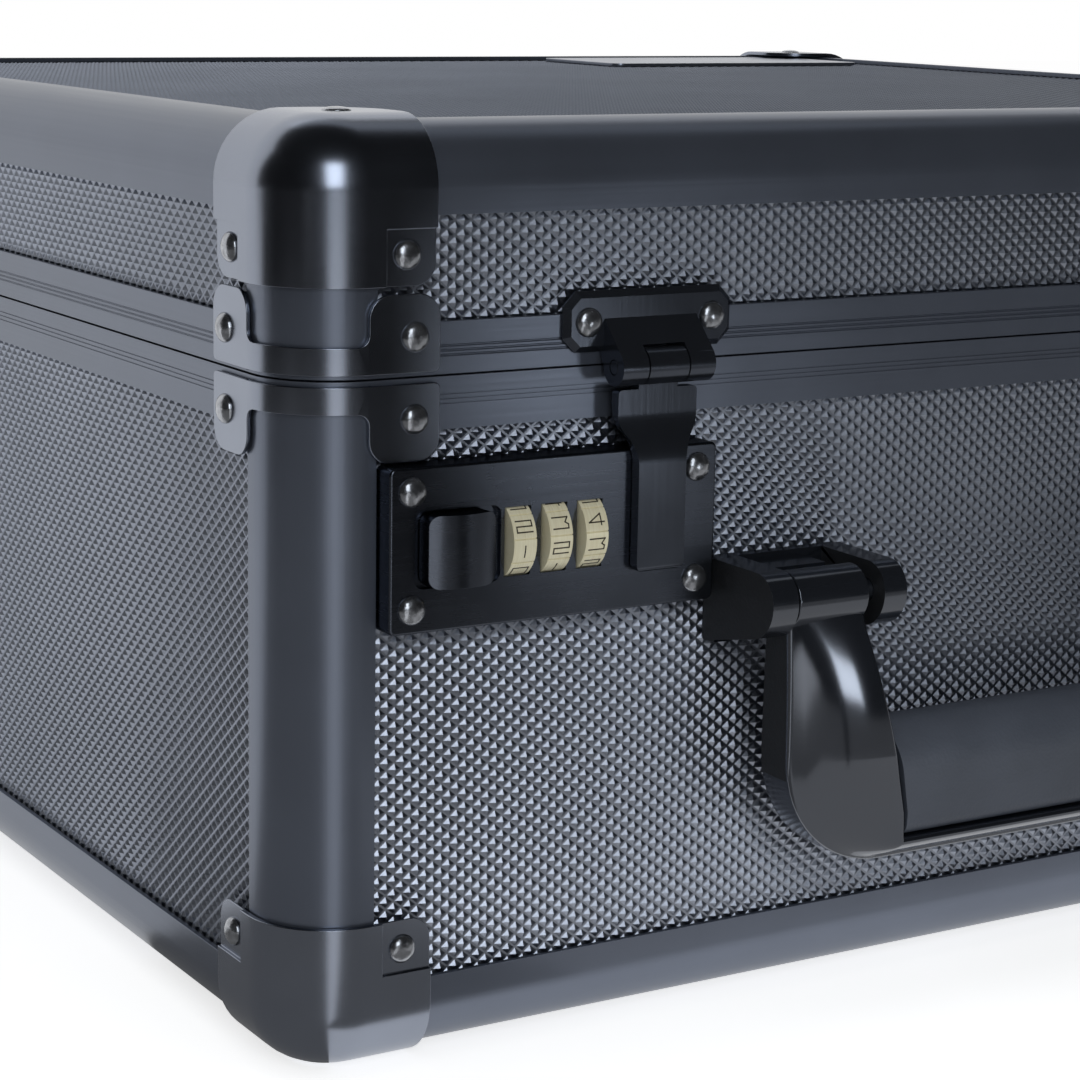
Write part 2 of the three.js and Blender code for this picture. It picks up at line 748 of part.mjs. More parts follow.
// Hasp: a cranked strap that hangs from the strike and covers the keeper channel
const knuckleY = front - knuckleProud;
const knuckleZ = seam + seamGap / 2;
const haspShoulder = seam - haspShoulderDrop;
const haspHeadFoot = seam - haspHeadDrop;
const haspHeadTop = seam - haspHeadGap;

function hasp() {
  const backOfHead = front - haspHeadProud;
  const backOfTail = plateFace - fitGap;
  const strap = sidePlate([
    [knuckleY, knuckleZ], [backOfHead - haspThickness, knuckleZ - knuckleRadius],
    [backOfHead - haspThickness, haspHeadFoot, haspFillet],
    [backOfTail - haspThickness, haspShoulder - haspThickness, haspFillet],
    [backOfTail - haspThickness, haspFoot, haspThickness / 2], [backOfTail, haspFoot],
    [backOfTail, haspShoulder, haspFillet], [backOfHead, haspHeadFoot + haspThickness, haspFillet],
    [backOfHead, haspHeadTop], [knuckleY + knuckleRadius, knuckleZ],
  ], haspX - haspHeadWidth / 2, haspX + haspHeadWidth / 2);
  const halfHead = haspHeadWidth / 2;
  const halfTail = haspTailWidth / 2;
  const halfKnuckle = haspKnuckle / 2;
  const face = frontPlate([
    [haspX - halfKnuckle, knuckleZ + knuckleRadius], [haspX - halfKnuckle, haspHeadTop],
    [haspX - halfHead, haspHeadTop, haspFillet], [haspX - halfHead, haspHeadFoot, haspFillet],
    [haspX - halfTail, haspShoulder - haspFillet, haspFillet],
    [haspX - halfTail, haspFoot, haspFillet], [haspX + halfTail, haspFoot, haspFillet],
    [haspX + halfTail, haspShoulder - haspFillet, haspFillet],
    [haspX + halfHead, haspHeadFoot, haspFillet], [haspX + halfHead, haspHeadTop, haspFillet],
    [haspX + halfKnuckle, haspHeadTop], [haspX + halfKnuckle, knuckleZ + knuckleRadius],
  ], plateFace - 2 * overrun, front + overrun);
  const knuckle = crossBar(knuckleRadius, pinSides, haspX - halfKnuckle, haspX + halfKnuckle,
    knuckleY, knuckleZ);
  const keeper = box(haspX - keeperWidth / 2, haspX + keeperWidth / 2, backOfTail - fitGap,
    plateFace + keeperDepth, keeperFoot, keeperFoot + keeperHeight);
  const bore = crossBar(strikePinRadius + pinGap, pinSides, haspX - haspHeadWidth,
    haspX + haspHeadWidth, knuckleY, knuckleZ);
  return geometryOf(cut(join(strap.intersect(face), knuckle, keeper), bore));
}
addLeftAndRight(latches, 'hasp', hasp(), glossSteel);

// Strike: a chamfered plate riveted over the lid rim, with two ears for the hasp's pin
function strike() {
  const back = front - fitGap;
  const face = back - strikeThickness;
  const top = strikeFoot + strikeHeight;
  const halfWidth = strikeWidth / 2;
  const plate = frontPlate([
    [haspX - halfWidth, strikeFoot + strikeChamfer], [haspX - halfWidth + strikeChamfer, strikeFoot],
    [haspX + halfWidth - strikeChamfer, strikeFoot], [haspX + halfWidth, strikeFoot + strikeChamfer],
    [haspX + halfWidth, top - strikeChamfer], [haspX + halfWidth - strikeChamfer, top],
    [haspX - halfWidth + strikeChamfer, top], [haspX - halfWidth, top - strikeChamfer],
  ], face, back);
  const halfShelf = haspKnuckle / 2 + keeperSideGap + strikeEar;
  const shelf = sidePlate([
    [back, strikeFoot], [back, strikeFoot + strikeHeight * shelfRiseShare],
    [face, strikeFoot + strikeHeight * shelfRiseShare],
    [knuckleY - knuckleRadius * Math.SQRT1_2, knuckleZ + knuckleRadius * Math.SQRT1_2],
    [knuckleY, knuckleZ], [knuckleY + knuckleRadius, knuckleZ],
  ], haspX - halfShelf, haspX + halfShelf);
  const ears = crossBar(knuckleRadius, pinSides, haspX - halfShelf, haspX + halfShelf,
    knuckleY, knuckleZ);
  const halfWindow = haspKnuckle / 2 + keeperSideGap;
  const window = box(haspX - halfWindow, haspX + halfWindow, knuckleY - knuckleRadius - overrun,
    back + overrun, knuckleZ - knuckleRadius - overrun, knuckleZ + strikeWindow);
  const bore = crossBar(strikePinRadius + pinGap, pinSides, haspX - haspHeadWidth,
    haspX + haspHeadWidth, knuckleY, knuckleZ);
  const rivetZ = strikeFoot + strikeHeight / 2;
  return geometryOf(cut(
    join(
      plate, shelf, ears,
      frontRivet(haspX - halfWidth + strikeRivetInset, face, rivetZ),
      frontRivet(haspX + halfWidth - strikeRivetInset, face, rivetZ),
    ),
    window, bore,
  ));
}
const halfPin = haspKnuckle / 2 + keeperSideGap + strikeEar;
addLeftAndRight(lid, 'strike', strike(), glossSteel);
addLeftAndRight(lid, 'strike_pin', geometryOf(crossBar(strikePinRadius, pinSides,
  haspX - halfPin, haspX + halfPin, knuckleY, knuckleZ)), glossSteel);

// Handle brackets: two ears with a back plate and a bridge that stops the handle's swing
const pivotY = front - pivotProud;
const pivotHeight = seam - pivotDrop;
const bracketTop = pivotHeight + bracketRise;
const bracketFoot = pivotHeight - bracketSink;
const bracketOuter = caseWidth / 2 - plateInset - plateWidth - bracketSpacing;
const bracketInner = bracketOuter - bracketWidth;

function handleBracket() {
  const back = front + lipWall;
  const earOutline = [
    [back, bracketFoot, bracketProud], [back, bracketTop, bracketProud],
    [pivotY - earRadius, pivotHeight + earRadius, earRadius],
    [pivotY - earRadius, pivotHeight - earRadius, earRadius],
  ];
  const bore = crossBar(handlePinRadius + pinGap, pinSides, -bracketOuter - overrun,
    -bracketInner + overrun, pivotY, pivotHeight);
  const bodyPieces = [
    sidePlate(earOutline, -bracketOuter, -bracketOuter + outerEar),
    sidePlate(earOutline, -bracketInner - innerEar, -bracketInner),
    box(-bracketOuter, -bracketInner, back - bracketWall, back, bracketFoot, bracketTop),
    box(-bracketOuter, -bracketInner - innerEar - bridgeNotch, front - bridgeReach, back,
      bracketTop - bridgeThickness, bracketTop - bracketProud),
  ];
  return geometryOf(cut(join(...bodyPieces), bore));
}
addLeftAndRight(handle, 'handle_bracket', handleBracket(), glossPlastic);

// Handle frame: two arms with pivot barrels, joined by a bar below the grip
const handleOuter = bracketOuter - outerEar - fitGap;
const barrelInner = handleOuter - barrelWidth;
const handleFoot = pivotHeight - handleDrop;
const armBendHeight = pivotHeight - armBendDrop;
const armBendInner = handleOuter - armBendWidth;
const armFootHeight = pivotHeight - armFootDrop;
const armFootInner = handleOuter - armFootWidth;
const gripFoot = handleFoot + barHeight + fitGap;
const gripTop = gripFoot + gripHeight;

function handleOutline() {
  const half = [
    [-handleOuter, handleFoot, handleCorner], [-handleOuter, pivotHeight + barrelRadius / 2],
    [-barrelInner, pivotHeight + barrelRadius / 2], [-barrelInner, pivotHeight - barrelRadius],
    [-armBendInner, armBendHeight, armBendRadius], [-armFootInner, armFootHeight],
    [-armFootInner, handleFoot + barHeight],
  ];
  const other = half.map(([x, z, radius]) => [-x, z, radius]).reverse();
  return [...half, ...other];
}

function handleFrame() {
  const plan = outline(handleOutline());
  const depth = handleFront - handleBack;
  const frame = new THREE.ExtrudeGeometry(plan, {
    depth: depth - 2 * handleBevel,
    bevelEnabled: true,
    bevelThickness: handleBevel,
    bevelSize: handleBevel,
    bevelOffset: -handleBevel,
    bevelSegments: filletSteps,
  });
  const centred = frame.rotateX(Math.PI / 2).translate(0, front - handleBack - handleBevel, 0);
  const upright = sidePlate([
    [front - handleBack, handleFoot - overrun], [front - handleBack, armBendHeight],
    [pivotY + barrelRadius, pivotHeight], [pivotY + barrelRadius, pivotHeight + overrun],
    [pivotY - barrelRadius, pivotHeight + overrun], [pivotY - barrelRadius, pivotHeight],
    [front - handleFront, armBendHeight], [front - handleFront, handleFoot - overrun],
  ], -handleOuter - overrun, handleOuter + overrun);
  const crown = box(-handleOuter - overrun, handleOuter + overrun, front - 2 * handleFront,
    front, pivotHeight, pivotHeight + handleOuter);
  const trimmed = cut(solid(centred).intersect(upright), crown);
  const barrel = crossBar(barrelRadius, dialSides / 2, -handleOuter, -barrelInner, pivotY, pivotHeight);
  const pin = crossBar(handlePinRadius, pinSides, -handleOuter - handlePinGrip,
    -bracketInner - innerEar + handlePinGrip, pivotY, pivotHeight);
  const gripMiddle = (gripFoot + gripTop) / 2;
  const gripDepth = front - (gripFront + gripBack) / 2;
  const socket = crossBar(gripStubRadius + fitGap, pinSides, -armBendInner - gripStub - fitGap,
    -armFootInner + overrun, gripDepth, gripMiddle);
  const leftSide = [barrel, pin].map(geometryOf);
  const sockets = [socket, solid(mirrored(geometryOf(socket), 'x'))];
  const pivots = leftSide.flatMap((piece) => [solid(piece), solid(mirrored(piece, 'x'))]);
  return geometryOf(join(cut(trimmed, ...sockets), ...pivots));
}

function handleGrip() {
  const clear = fitGap;
  const face = frontPlate([
    [-armFootInner + clear, gripFoot], [-armFootInner + clear, armFootHeight],
    [-armBendInner + clear, armBendHeight], [-armBendInner + clear, gripTop],
    [armBendInner - clear, gripTop], [armBendInner - clear, armBendHeight],
    [armFootInner - clear, armFootHeight], [armFootInner - clear, gripFoot],
  ], front - gripFront - overrun, front);
  const section = sidePlate(
    rectangle(front - gripFront, front - gripBack, gripFoot, gripTop, gripFillet), -armBendInner, armBendInner);
  const stubs = crossBar(gripStubRadius, pinSides, -armBendInner - gripStub, armBendInner + gripStub,
    front - (gripFront + gripBack) / 2, (gripFoot + gripTop) / 2);
  return geometryOf(join(section.intersect(face), stubs));
}
addPiece(handle, 'handle_frame', handleFrame(), glossPlastic);
addPiece(handle, 'handle_grip', handleGrip(), softGrip);

// Rear hinges: butt hinges with leaves riveted over the rims
const back = front + caseDepth;
const hingeY = back + hingeProud;
const hingeCentre = caseWidth / 2 - hingeInset;

function hingeLeafPiece(knuckleSpans, upwards) {
  const leafStart = -hingeCentre - hingeWidth / 2;
  const leafEnd = -hingeCentre + hingeWidth / 2;
  const leafY = back + fitGap;
  const near = seam + (upwards ? seamGap : -seamGap);
  const far = near + (upwards ? hingeLeaf : -hingeLeaf);
  const plate = frontPlate([
    [leafStart, near], [leafStart, far, hingeFillet], [leafEnd, far, hingeFillet], [leafEnd, near],
  ], leafY, leafY + hingeLeafWall);
  const pieces = [plate];
  for (const [start, end] of knuckleSpans) {
    pieces.push(crossBar(hingeKnuckle, pinSides, leafStart + start, leafStart + end, hingeY, seam));
  }
  return { pieces, leafStart, leafEnd, leafY, near, far };
}

function hingeSide(knuckleSpans, gapSpans, upwards) {
  const { pieces, leafStart, leafEnd, leafY, near, far } = hingeLeafPiece(knuckleSpans, upwards);
  const bore = crossBar(hingePinRadius + pinGap, pinSides, leafStart - overrun, leafEnd + overrun,
    hingeY, seam);
  const gaps = gapSpans.map(([start, end]) => box(leafStart + start, leafStart + end,
    leafY - overrun, hingeY + hingeKnuckle + overrun,
    seam - hingeKnuckle - keeperSideGap, seam + hingeKnuckle + keeperSideGap));
  const rivetZ = (near + far) / 2 + (far - near) / 6;
  const rivets = [leafStart + hingeRivetInset, leafEnd - hingeRivetInset]
    .map((x) => rearRivet(x, leafY + hingeLeafWall, rivetZ));
  return geometryOf(cut(join(...pieces, ...rivets), bore, ...gaps));
}
const middleStart = (hingeWidth - hingeMiddle) / 2;
const middleEnd = (hingeWidth + hingeMiddle) / 2;
const outerSpans = [[0, middleStart], [middleEnd, hingeWidth]];
const middleSpan = [[middleStart, middleEnd]];
const widened = (spans) => spans.map(([start, end]) => [start - keeperSideGap, end + keeperSideGap]);
addLeftAndRight(base, 'hinge_base_leaf', hingeSide(outerSpans, widened(middleSpan), false), glossSteel);
addLeftAndRight(lid, 'hinge_lid_leaf', hingeSide(middleSpan, widened(outerSpans), true), glossSteel);
addLeftAndRight(base, 'hinge_pin', geometryOf(crossBar(hingePinRadius, pinSides,
  -hingeCentre - hingeWidth / 2, -hingeCentre + hingeWidth / 2, hingeY, seam)), glossSteel);

// The origin is under the middle of everything, with the handle and the hinges counted
all.position.y = (Math.max(gripFront, earRadius + pivotProud) - hingeProud - hingeKnuckle) / 2;

export default all;
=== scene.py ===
import math

import bmesh
import bpy
from mathutils import Matrix, Vector


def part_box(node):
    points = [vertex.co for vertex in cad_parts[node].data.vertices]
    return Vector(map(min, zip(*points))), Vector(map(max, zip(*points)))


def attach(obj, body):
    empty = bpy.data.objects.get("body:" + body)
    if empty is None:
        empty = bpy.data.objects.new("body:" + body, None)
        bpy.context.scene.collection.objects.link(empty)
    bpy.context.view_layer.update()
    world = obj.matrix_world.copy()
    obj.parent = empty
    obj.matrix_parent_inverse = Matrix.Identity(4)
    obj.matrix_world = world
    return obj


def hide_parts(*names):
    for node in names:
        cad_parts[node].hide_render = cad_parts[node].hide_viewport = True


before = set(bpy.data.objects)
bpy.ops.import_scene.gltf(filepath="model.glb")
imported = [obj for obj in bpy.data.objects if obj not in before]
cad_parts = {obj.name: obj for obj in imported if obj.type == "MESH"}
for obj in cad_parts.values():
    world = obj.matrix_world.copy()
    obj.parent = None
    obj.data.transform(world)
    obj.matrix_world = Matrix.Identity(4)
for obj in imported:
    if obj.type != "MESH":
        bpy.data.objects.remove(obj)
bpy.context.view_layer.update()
mm = 0.001

# The camera stands to the left of the case's front and a little above it, with a long lens,
# as the photograph was taken. Its picture is square.
camera_place = Vector((-350.44, -536.9, 190.81)) * mm
camera_turn, camera_tilt, camera_roll = (math.radians(angle) for angle in (-31.18, 78.26, 1.03))
bpy.ops.object.camera_add()
camera = bpy.context.object
camera.data.sensor_width = 36
camera.data.lens = 93.31
camera.matrix_world = (
    Matrix.Translation(camera_place)
    @ Matrix.Rotation(camera_turn, 4, "Z")
    @ Matrix.Rotation(camera_tilt, 4, "X")
    @ Matrix.Rotation(camera_roll, 4, "Z")
)
bpy.context.scene.camera = camera
bpy.context.scene.view_settings.view_transform = "Standard"


class Wire:
    """One output in a shader tree. Sums written with it add Math nodes."""

    def __init__(self, tree, socket):
        self.tree = tree
        self.socket = socket

    def feed(self, socket, value):
        if isinstance(value, Wire):
            self.tree.links.new(value.socket, socket)
        else:
            socket.default_value = value

    def node(self, kind, settings=None, inputs=None, out=0):
        made = self.tree.nodes.new("ShaderNode" + kind)
        for name, value in (settings or {}).items():
            setattr(made, name, value)
        for key, value in (inputs or {}).items():
            self.feed(made.inputs[key], value)
        return Wire(self.tree, made.outputs[out])

    def maths(self, operation, first, *others):
        return self.node("Math", {"operation": operation}, dict(enumerate((first, *others))))

    def __add__(self, other):
        return self.maths("ADD", self, other)

    def __mul__(self, other):
        return self.maths("MULTIPLY", self, other)

    __radd__ = __add__
    __rmul__ = __mul__

    def between(self, low, high):
        """Goes from one colour to another as this value goes from 0 to 1."""
        return self.node("Mix", {"data_type": "RGBA"}, {0: self, 6: low, 7: high}, out=2)


def grey(value, blue=1.0):
    """A grey of one level, or one whose blue is stronger than its red."""
    return (value, value * (0.7 + 0.3 * blue), value * blue, 1)


# The studio is a pale floor in a plain white surround, with soft boxes for light. Black and
# grey cloths keep what the case's front mirrors dark, and only reflections show them. The barn
# door also shades the panels from the small box in front of the handle.
surround = bpy.data.worlds.new("surround")
bpy.context.scene.world = surround
surround.use_nodes = True
surround_tree = surround.node_tree
surround_light = surround_tree.nodes["Background"]
surround_level = 0.36
ray = surround_tree.nodes.new("ShaderNodeLightPath").outputs


def seen_directly(tree, outputs):
    """1 for rays from the camera and for reflected and refracted ones, and 0 for the rest."""
    camera_ray, glossy_ray, clear_ray = (
        Wire(tree, outputs[name]) for name in ("Is Camera Ray", "Is Glossy Ray", "Is Transmission Ray")
    )
    either = camera_ray.maths("MAXIMUM", camera_ray, glossy_ray)
    return either.maths("MAXIMUM", either, clear_ray)


seen = seen_directly(surround_tree, ray)
surround_light.inputs["Color"].default_value = (1, 1, 1, 1)
seen.feed(surround_light.inputs["Strength"], seen * (1 - surround_level) + surround_level)

floor_size = 8
floor_whiteness, floor_lift = 0.8, 0.7
bpy.ops.mesh.primitive_plane_add(size=floor_size, location=(0, 0, 0))
floor = bpy.context.object
floor.name = "floor"
floor_paint = bpy.data.materials.new("pale_floor")
floor_paint.use_nodes = True
floor_shader = floor_paint.node_tree.nodes["Principled BSDF"]
floor_shader.inputs["Base Color"].default_value = grey(floor_whiteness)
floor_shader.inputs["Roughness"].default_value = 0.9
floor_shader.inputs["Specular IOR Level"].default_value = 0
floor_shader.inputs["Emission Strength"].default_value = floor_lift
floor_ray = floor_paint.node_tree.nodes.new("ShaderNodeLightPath").outputs
floor_seen = seen_directly(floor_paint.node_tree, floor_ray)
floor_seen.feed(floor_shader.inputs["Emission Color"], floor_seen.between(grey(0), grey(1)))
floor.data.materials.append(floor_paint)

aim = Vector((-0.05, 0, 0.09))
soft_boxes = (
    ("strip_box", (-0.53, -1.32, 0.66), 0.5, 0.92, 5.4),
    ("handle_box", (0.007, -0.396, 0.075), 0.088, 0.044, 0.07),
    ("top_box", (0.1, 0.2, 1.9), 2, 2, 5),
)
for name, place, wide, tall, power in soft_boxes:
    bpy.ops.object.light_add(type="AREA", location=place)
    box_light = bpy.context.object
    box_light.name = name
    box_light.data.shape = "RECTANGLE"
    box_light.data.size, box_light.data.size_y = wide, tall
    box_light.data.energy = power
    box_light.data.color = (0.9, 0.95, 1)
    box_light.rotation_euler = (aim - Vector(place)).to_track_quat("-Z", "Y").to_euler()
    box_light.visible_camera = False


def flag_cloth(name, level):
    """A cloth that hardly reflects light and glows at one level of grey, a painted level for the reflections
    that see it.
    """
    cloth = bpy.data.materials.new(name)
    cloth.use_nodes = True
    shader = cloth.node_tree.nodes["Principled BSDF"]
    shader.inputs["Base Color"].default_value = grey(0.01)
    shader.inputs["Roughness"].default_value = 1
    shader.inputs["Specular IOR Level"].default_value = 0
    shader.inputs["Emission Color"].default_value = grey(1)
    shader.inputs["Emission Strength"].default_value = level
    return cloth


black_cloth = flag_cloth("black_cloth", 0.01)
dim_reflection_glow = flag_cloth("dim_reflection_glow", 0.2)
grey_reflection_glow = flag_cloth("grey_reflection_glow", 0.5)
flags = (
    ("front_flag", black_cloth, (0, -1.7, 1.1), (90, 0), (4.4, 2.2)),
    ("left_flag", black_cloth, (-2.2, -0.15, 1.1), (90, 90), (3.1, 2.2)),
    ("right_flag", black_cloth, (2.2, -0.4, 1.1), (90, 90), (2.6, 2.2)),
    ("roof_flag", black_cloth, (0, -0.25, 1.85), (0, 0), (4.4, 2.9)),
    ("barn_door", black_cloth, (-0.043, -0.34, 0.063), (90, 90), (0.16, 0.124)),
)
# The near flags lie on the floor beside the case and glow dim or grey. They are painted reflections that
# darken what the case's lower parts mirror.
for name, cloth, start, turn, side, wide, deep in (
    ("floor_flag_right", black_cloth, (-0.17, -0.4, 0.0008), -4, 1, 2.3, 1.4),
    ("near_flag_corner", dim_reflection_glow, (-0.15, -0.14, 0.0024), -4, 1, 0.065, 0.17),
    ("near_flag_right", grey_reflection_glow, (-0.15, -0.14, 0.0016), -4, 1, 2.3, 0.17),
    ("near_flag_front", dim_reflection_glow, (-0.17, -0.31, 0.0016), -4, 1, 2.3, 0.4),
    ("floor_flag_left", black_cloth, (-0.118, -0.075, 0.0008), -26, -1, 2, 1.95),
    ("near_flag_left", dim_reflection_glow, (-0.118, -0.075, 0.0016), -26, -1, 0.6, 0.6),
):
    sine, cosine = math.sin(math.radians(turn)), math.cos(math.radians(turn))
    x = start[0] + side * cosine * wide / 2 + sine * deep / 2
    y = start[1] + side * sine * wide / 2 - cosine * deep / 2
    flags += ((name, cloth, (x, y, start[2]), (0, turn), (wide, deep)),)
for name, cloth, place, (tilt, turn), (wide, tall) in flags:
    bpy.ops.mesh.primitive_plane_add(
        size=1, location=place, rotation=(math.radians(tilt), 0, math.radians(turn)))
    flag = bpy.context.object
    flag.name = name
    flag.scale = (wide, tall, 1)
    flag.data.materials.append(cloth)
    for kind in ("camera", "diffuse", "transmission", "shadow", "volume_scatter"):
        setattr(flag, "visible_" + kind, kind == "shadow" and name == "barn_door")

# The edge frames are black anodised aluminium angles that run round the floor and round the
# lid's top. Each is rolled to a soft outer edge, mitred at the corners and grooved for panels.
edge_low, edge_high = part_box("lid_edge_frame")
left, right = edge_low.x, edge_high.x
front, back = edge_low.y, edge_high.y
middle = (front + back) / 2
top = edge_high.z
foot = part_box("base_edge_frame")[0].z
centre_height = (foot + top) / 2
seam = top - 42 * mm
half_gap, rim_web = 0.15 * mm, 1.4 * mm
post_radius, post_leg = 14 * mm, 16.1 * mm
edge_radius = 11 * mm
edge_leg = 15.2 * mm
edge_flange = 13 * mm
lip = 1 * mm
wall_inner = 6.5 * mm
frame_inner = 7.5 * mm
edge_groove = 9.6 * mm
gap = 0.25 * mm
beyond = 6 * mm
arc_steps = 12
axes = "xyz"


def choose(*pieces):
    """Selects some objects and makes the first one active."""
    bpy.ops.object.select_all(action="DESELECT")
    for piece in pieces:
        piece.select_set(True)
    bpy.context.view_layer.objects.active = pieces[0]


def edit(piece):
    choose(piece)
    bpy.ops.object.mode_set(mode="EDIT")
    bpy.ops.mesh.select_all(action="DESELECT")


def leave():
    bpy.ops.object.mode_set(mode="OBJECT")


def pick(kind, test):
    """Selects the vertices, edges or faces of the open piece that pass a test."""
    bpy.ops.mesh.select_mode(type=kind)
    bpy.ops.mesh.select_all(action="DESELECT")
    mesh = bmesh.from_edit_mesh(bpy.context.edit_object.data)
    for part in {"VERT": mesh.verts, "EDGE": mesh.edges, "FACE": mesh.faces}[kind]:
        part.select_set(bool(test(part)))
    mesh.select_flush_mode()
    bmesh.update_edit_mesh(bpy.context.edit_object.data)


def lies(part, near=2e-6, **at):
    """True where every corner of an edge or face is at the given coordinates."""
    return all(abs(getattr(v.co, axis) - place) < near for v in part.verts for axis, place in at.items())


def runs(edge, axis):
    along = edge.verts[1].co - edge.verts[0].co
    return abs(along[axes.index(axis)]) > 0.999 * along.length


def add_block(name, low, high):
    bpy.ops.object.select_all(action="DESELECT")
    bpy.ops.mesh.primitive_cube_add(size=1, location=(0, 0, 0))
    piece = bpy.context.object
    piece.name = piece.data.name = name
    low, high = Vector(low), Vector(high)
    bpy.ops.object.mode_set(mode="EDIT")
    bpy.ops.mesh.select_all(action="SELECT")
    bpy.ops.transform.resize(value=high - low, center_override=(0, 0, 0))
    bpy.ops.transform.translate(value=(low + high) / 2)
    leave()
    return piece


def round_edges(piece, test, radius, steps=arc_steps):
    edit(piece)
    pick("EDGE", test)
    bpy.ops.mesh.bevel(offset=radius, segments=steps, profile=0.5, affect="EDGES", clamp_overlap=False)
    leave()


def combine(piece, tool, operation="DIFFERENCE", solver="EXACT"):
    """Joins, cuts or trims a piece with another, which is used up."""
    choose(piece)
    change = piece.modifiers.new("shape", "BOOLEAN")
    change.operation = operation
    change.solver = solver
    change.object = tool
    bpy.ops.object.modifier_apply(modifier=change.name)
    bpy.data.objects.remove(tool)
    return piece


def join(name, pieces):
    """Makes one object of several that stay separate shells."""
    choose(*pieces)
    bpy.ops.object.join()
    pieces[0].name = pieces[0].data.name = name
    return pieces[0]


def turned_over(piece, name, **planes):
    """A copy with its own mesh, turned over about planes such as x=0."""
    twin = piece.copy()
    twin.data = piece.data.copy()
    twin.name = twin.data.name = name
    bpy.context.scene.collection.objects.link(twin)
    for axis, plane in planes.items():
        edit(twin)
        bpy.ops.mesh.select_all(action="SELECT")
        flip = [-1 if each == axis else 1 for each in axes]
        about = [plane if each == axis else 0 for each in axes]
        bpy.ops.transform.resize(value=flip, center_override=about)
        bpy.ops.mesh.flip_normals()
        leave()
    return twin


def soften(piece, width, steps=2, angle=32):
    """Breaks the sharp edges of a piece."""
    choose(piece)
    change = piece.modifiers.new("edges", "BEVEL")
    change.width = width
    change.segments = steps
    change.limit_method = "ANGLE"
    change.angle_limit = math.radians(angle)
    bpy.ops.object.modifier_apply(modifier=change.name)
    return piece


def settle(piece, body, slot, paint, *nodes, smooth=40):
    """Shades and paints a finished piece, gives it its body and hides the nodes it stands for. Its slot is
    not used.
    """
    choose(piece)
    bpy.ops.object.shade_smooth_by_angle(angle=math.radians(smooth))
    change = piece.modifiers.new("shading", "WEIGHTED_NORMAL")
    change.keep_sharp = True
    bpy.ops.object.modifier_apply(modifier=change.name)
    if paint is not None:
        piece.data.materials.clear()
        piece.data.materials.append(paint)
    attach(piece, body)
    if nodes:
        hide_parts(*nodes)
    return piece


def finish(name, colour, roughness, metallic=0.0, **fixed):
    """Starts a material. Its fixed values go straight on the shader's own sockets."""
    made = bpy.data.materials.new(name)
    made.use_nodes = True
    tree = made.node_tree
    shader = tree.nodes["Principled BSDF"]
    shader.inputs["Base Color"].default_value = colour
    shader.inputs["Roughness"].default_value = roughness
    shader.inputs["Metallic"].default_value = metallic
    for key, value in fixed.items():
        shader.inputs[key.replace("_", " ")].default_value = value
    place = Wire(tree, tree.nodes.new("ShaderNodeTexCoord").outputs["Object"])
    return made, shader.inputs, place


def noise(place, scale, stretch=(1, 1, 1), detail=3.0):
    spread = place.node("Mapping", None, {"Vector": place, "Scale": stretch})
    return place.node("TexNoise", None, {"Vector": spread, "Scale": scale, "Detail": detail})


def bump(height, distance, strength=1.0):
    return height.node("Bump", None, {"Height": height, "Distance": distance, "Strength": strength})


def dress(shader, colour, roughness, normal):
    """Feeds the colour, the roughness and the fine relief of a material."""
    for name, value in (("Base Color", colour), ("Roughness", roughness), ("Normal", normal)):
        value.feed(shader[name], value)


def anodised_finish(name, stretch):
    """Satin black anodising over fine drawing lines that run along the profile."""
    made, shader, place = finish(name, grey(0.17, 1.4), 0.3, 0.8, Specular_Tint=grey(0.8))
    lines = noise(place, 60, stretch, 4)
    cloud = noise(place, 45, detail=4)
    dress(shader, cloud.between(grey(0.14, 1.4), grey(0.18, 1.4)),
          0.22 + 0.1 * lines + 0.08 * cloud, bump(lines, 0.012 * mm))
    return made


rail_paint = anodised_finish("anodised_rail", (0.12, 0.12, 22))
post_paint = anodised_finish("anodised_post", (22, 22, 0.12))


def rounded_block(name, inset, low, high, roll=None):
    """A block that follows the case's plan at one depth in from the frame's outer face."""
    piece = add_block(name, (left + inset, front + inset, low), (right - inset, back - inset, high))
    radius = max(post_radius - inset, gap)
    round_edges(piece, lambda edge: runs(edge, "z"), radius)
    if roll:
        round_edges(piece, lambda edge: lies(edge, z=low), roll)
    return piece


def hoop(name, outer, inner, low, high):
    piece = rounded_block(name, outer, low, high)
    return combine(piece, rounded_block("core", inner, low - beyond, high + beyond))


def corner_squares(reach, low, high):
    """Four square columns, one at each upright edge of the case."""
    columns = []
    for x0, x1 in ((left - beyond, left + reach), (right - reach, right + beyond)):
        for y0, y1 in ((front - beyond, front + reach), (back - reach, back + beyond)):
            columns.append(add_block("column", (x0, y0, low), (x1, y1, high)))
    return join("columns", columns)


leg_top = foot + edge_leg
base_edge = rounded_block("base_edge_frame_shown", 0, foot, leg_top, edge_radius)
combine(base_edge, rounded_block("core", edge_flange, foot - beyond, leg_top + beyond))
combine(base_edge, rounded_block("core", frame_inner, foot + frame_inner, leg_top + beyond))
combine(base_edge, hoop("groove", lip, wall_inner, foot + edge_groove, leg_top + beyond))
combine(base_edge, rounded_block("groove", edge_groove, foot + lip, foot + wall_inner))
lid_edge = turned_over(base_edge, "lid_edge_frame_shown", z=centre_height)
lid_post_foot = seam + half_gap + rim_web + gap
lid_posts = hoop("lid_posts", 0, lip, lid_post_foot, top - post_radius)
combine(lid_posts, corner_squares(post_leg, seam - beyond, top + beyond), "INTERSECT")
combine(lid_edge, lid_posts, "UNION")
for piece, body, node in ((base_edge, "base", "base_edge_frame"), (lid_edge, "lid", "lid_edge_frame")):
    soften(piece, 0.14 * mm)
    settle(piece, body, "black_anodised_aluminium", rail_paint, node)

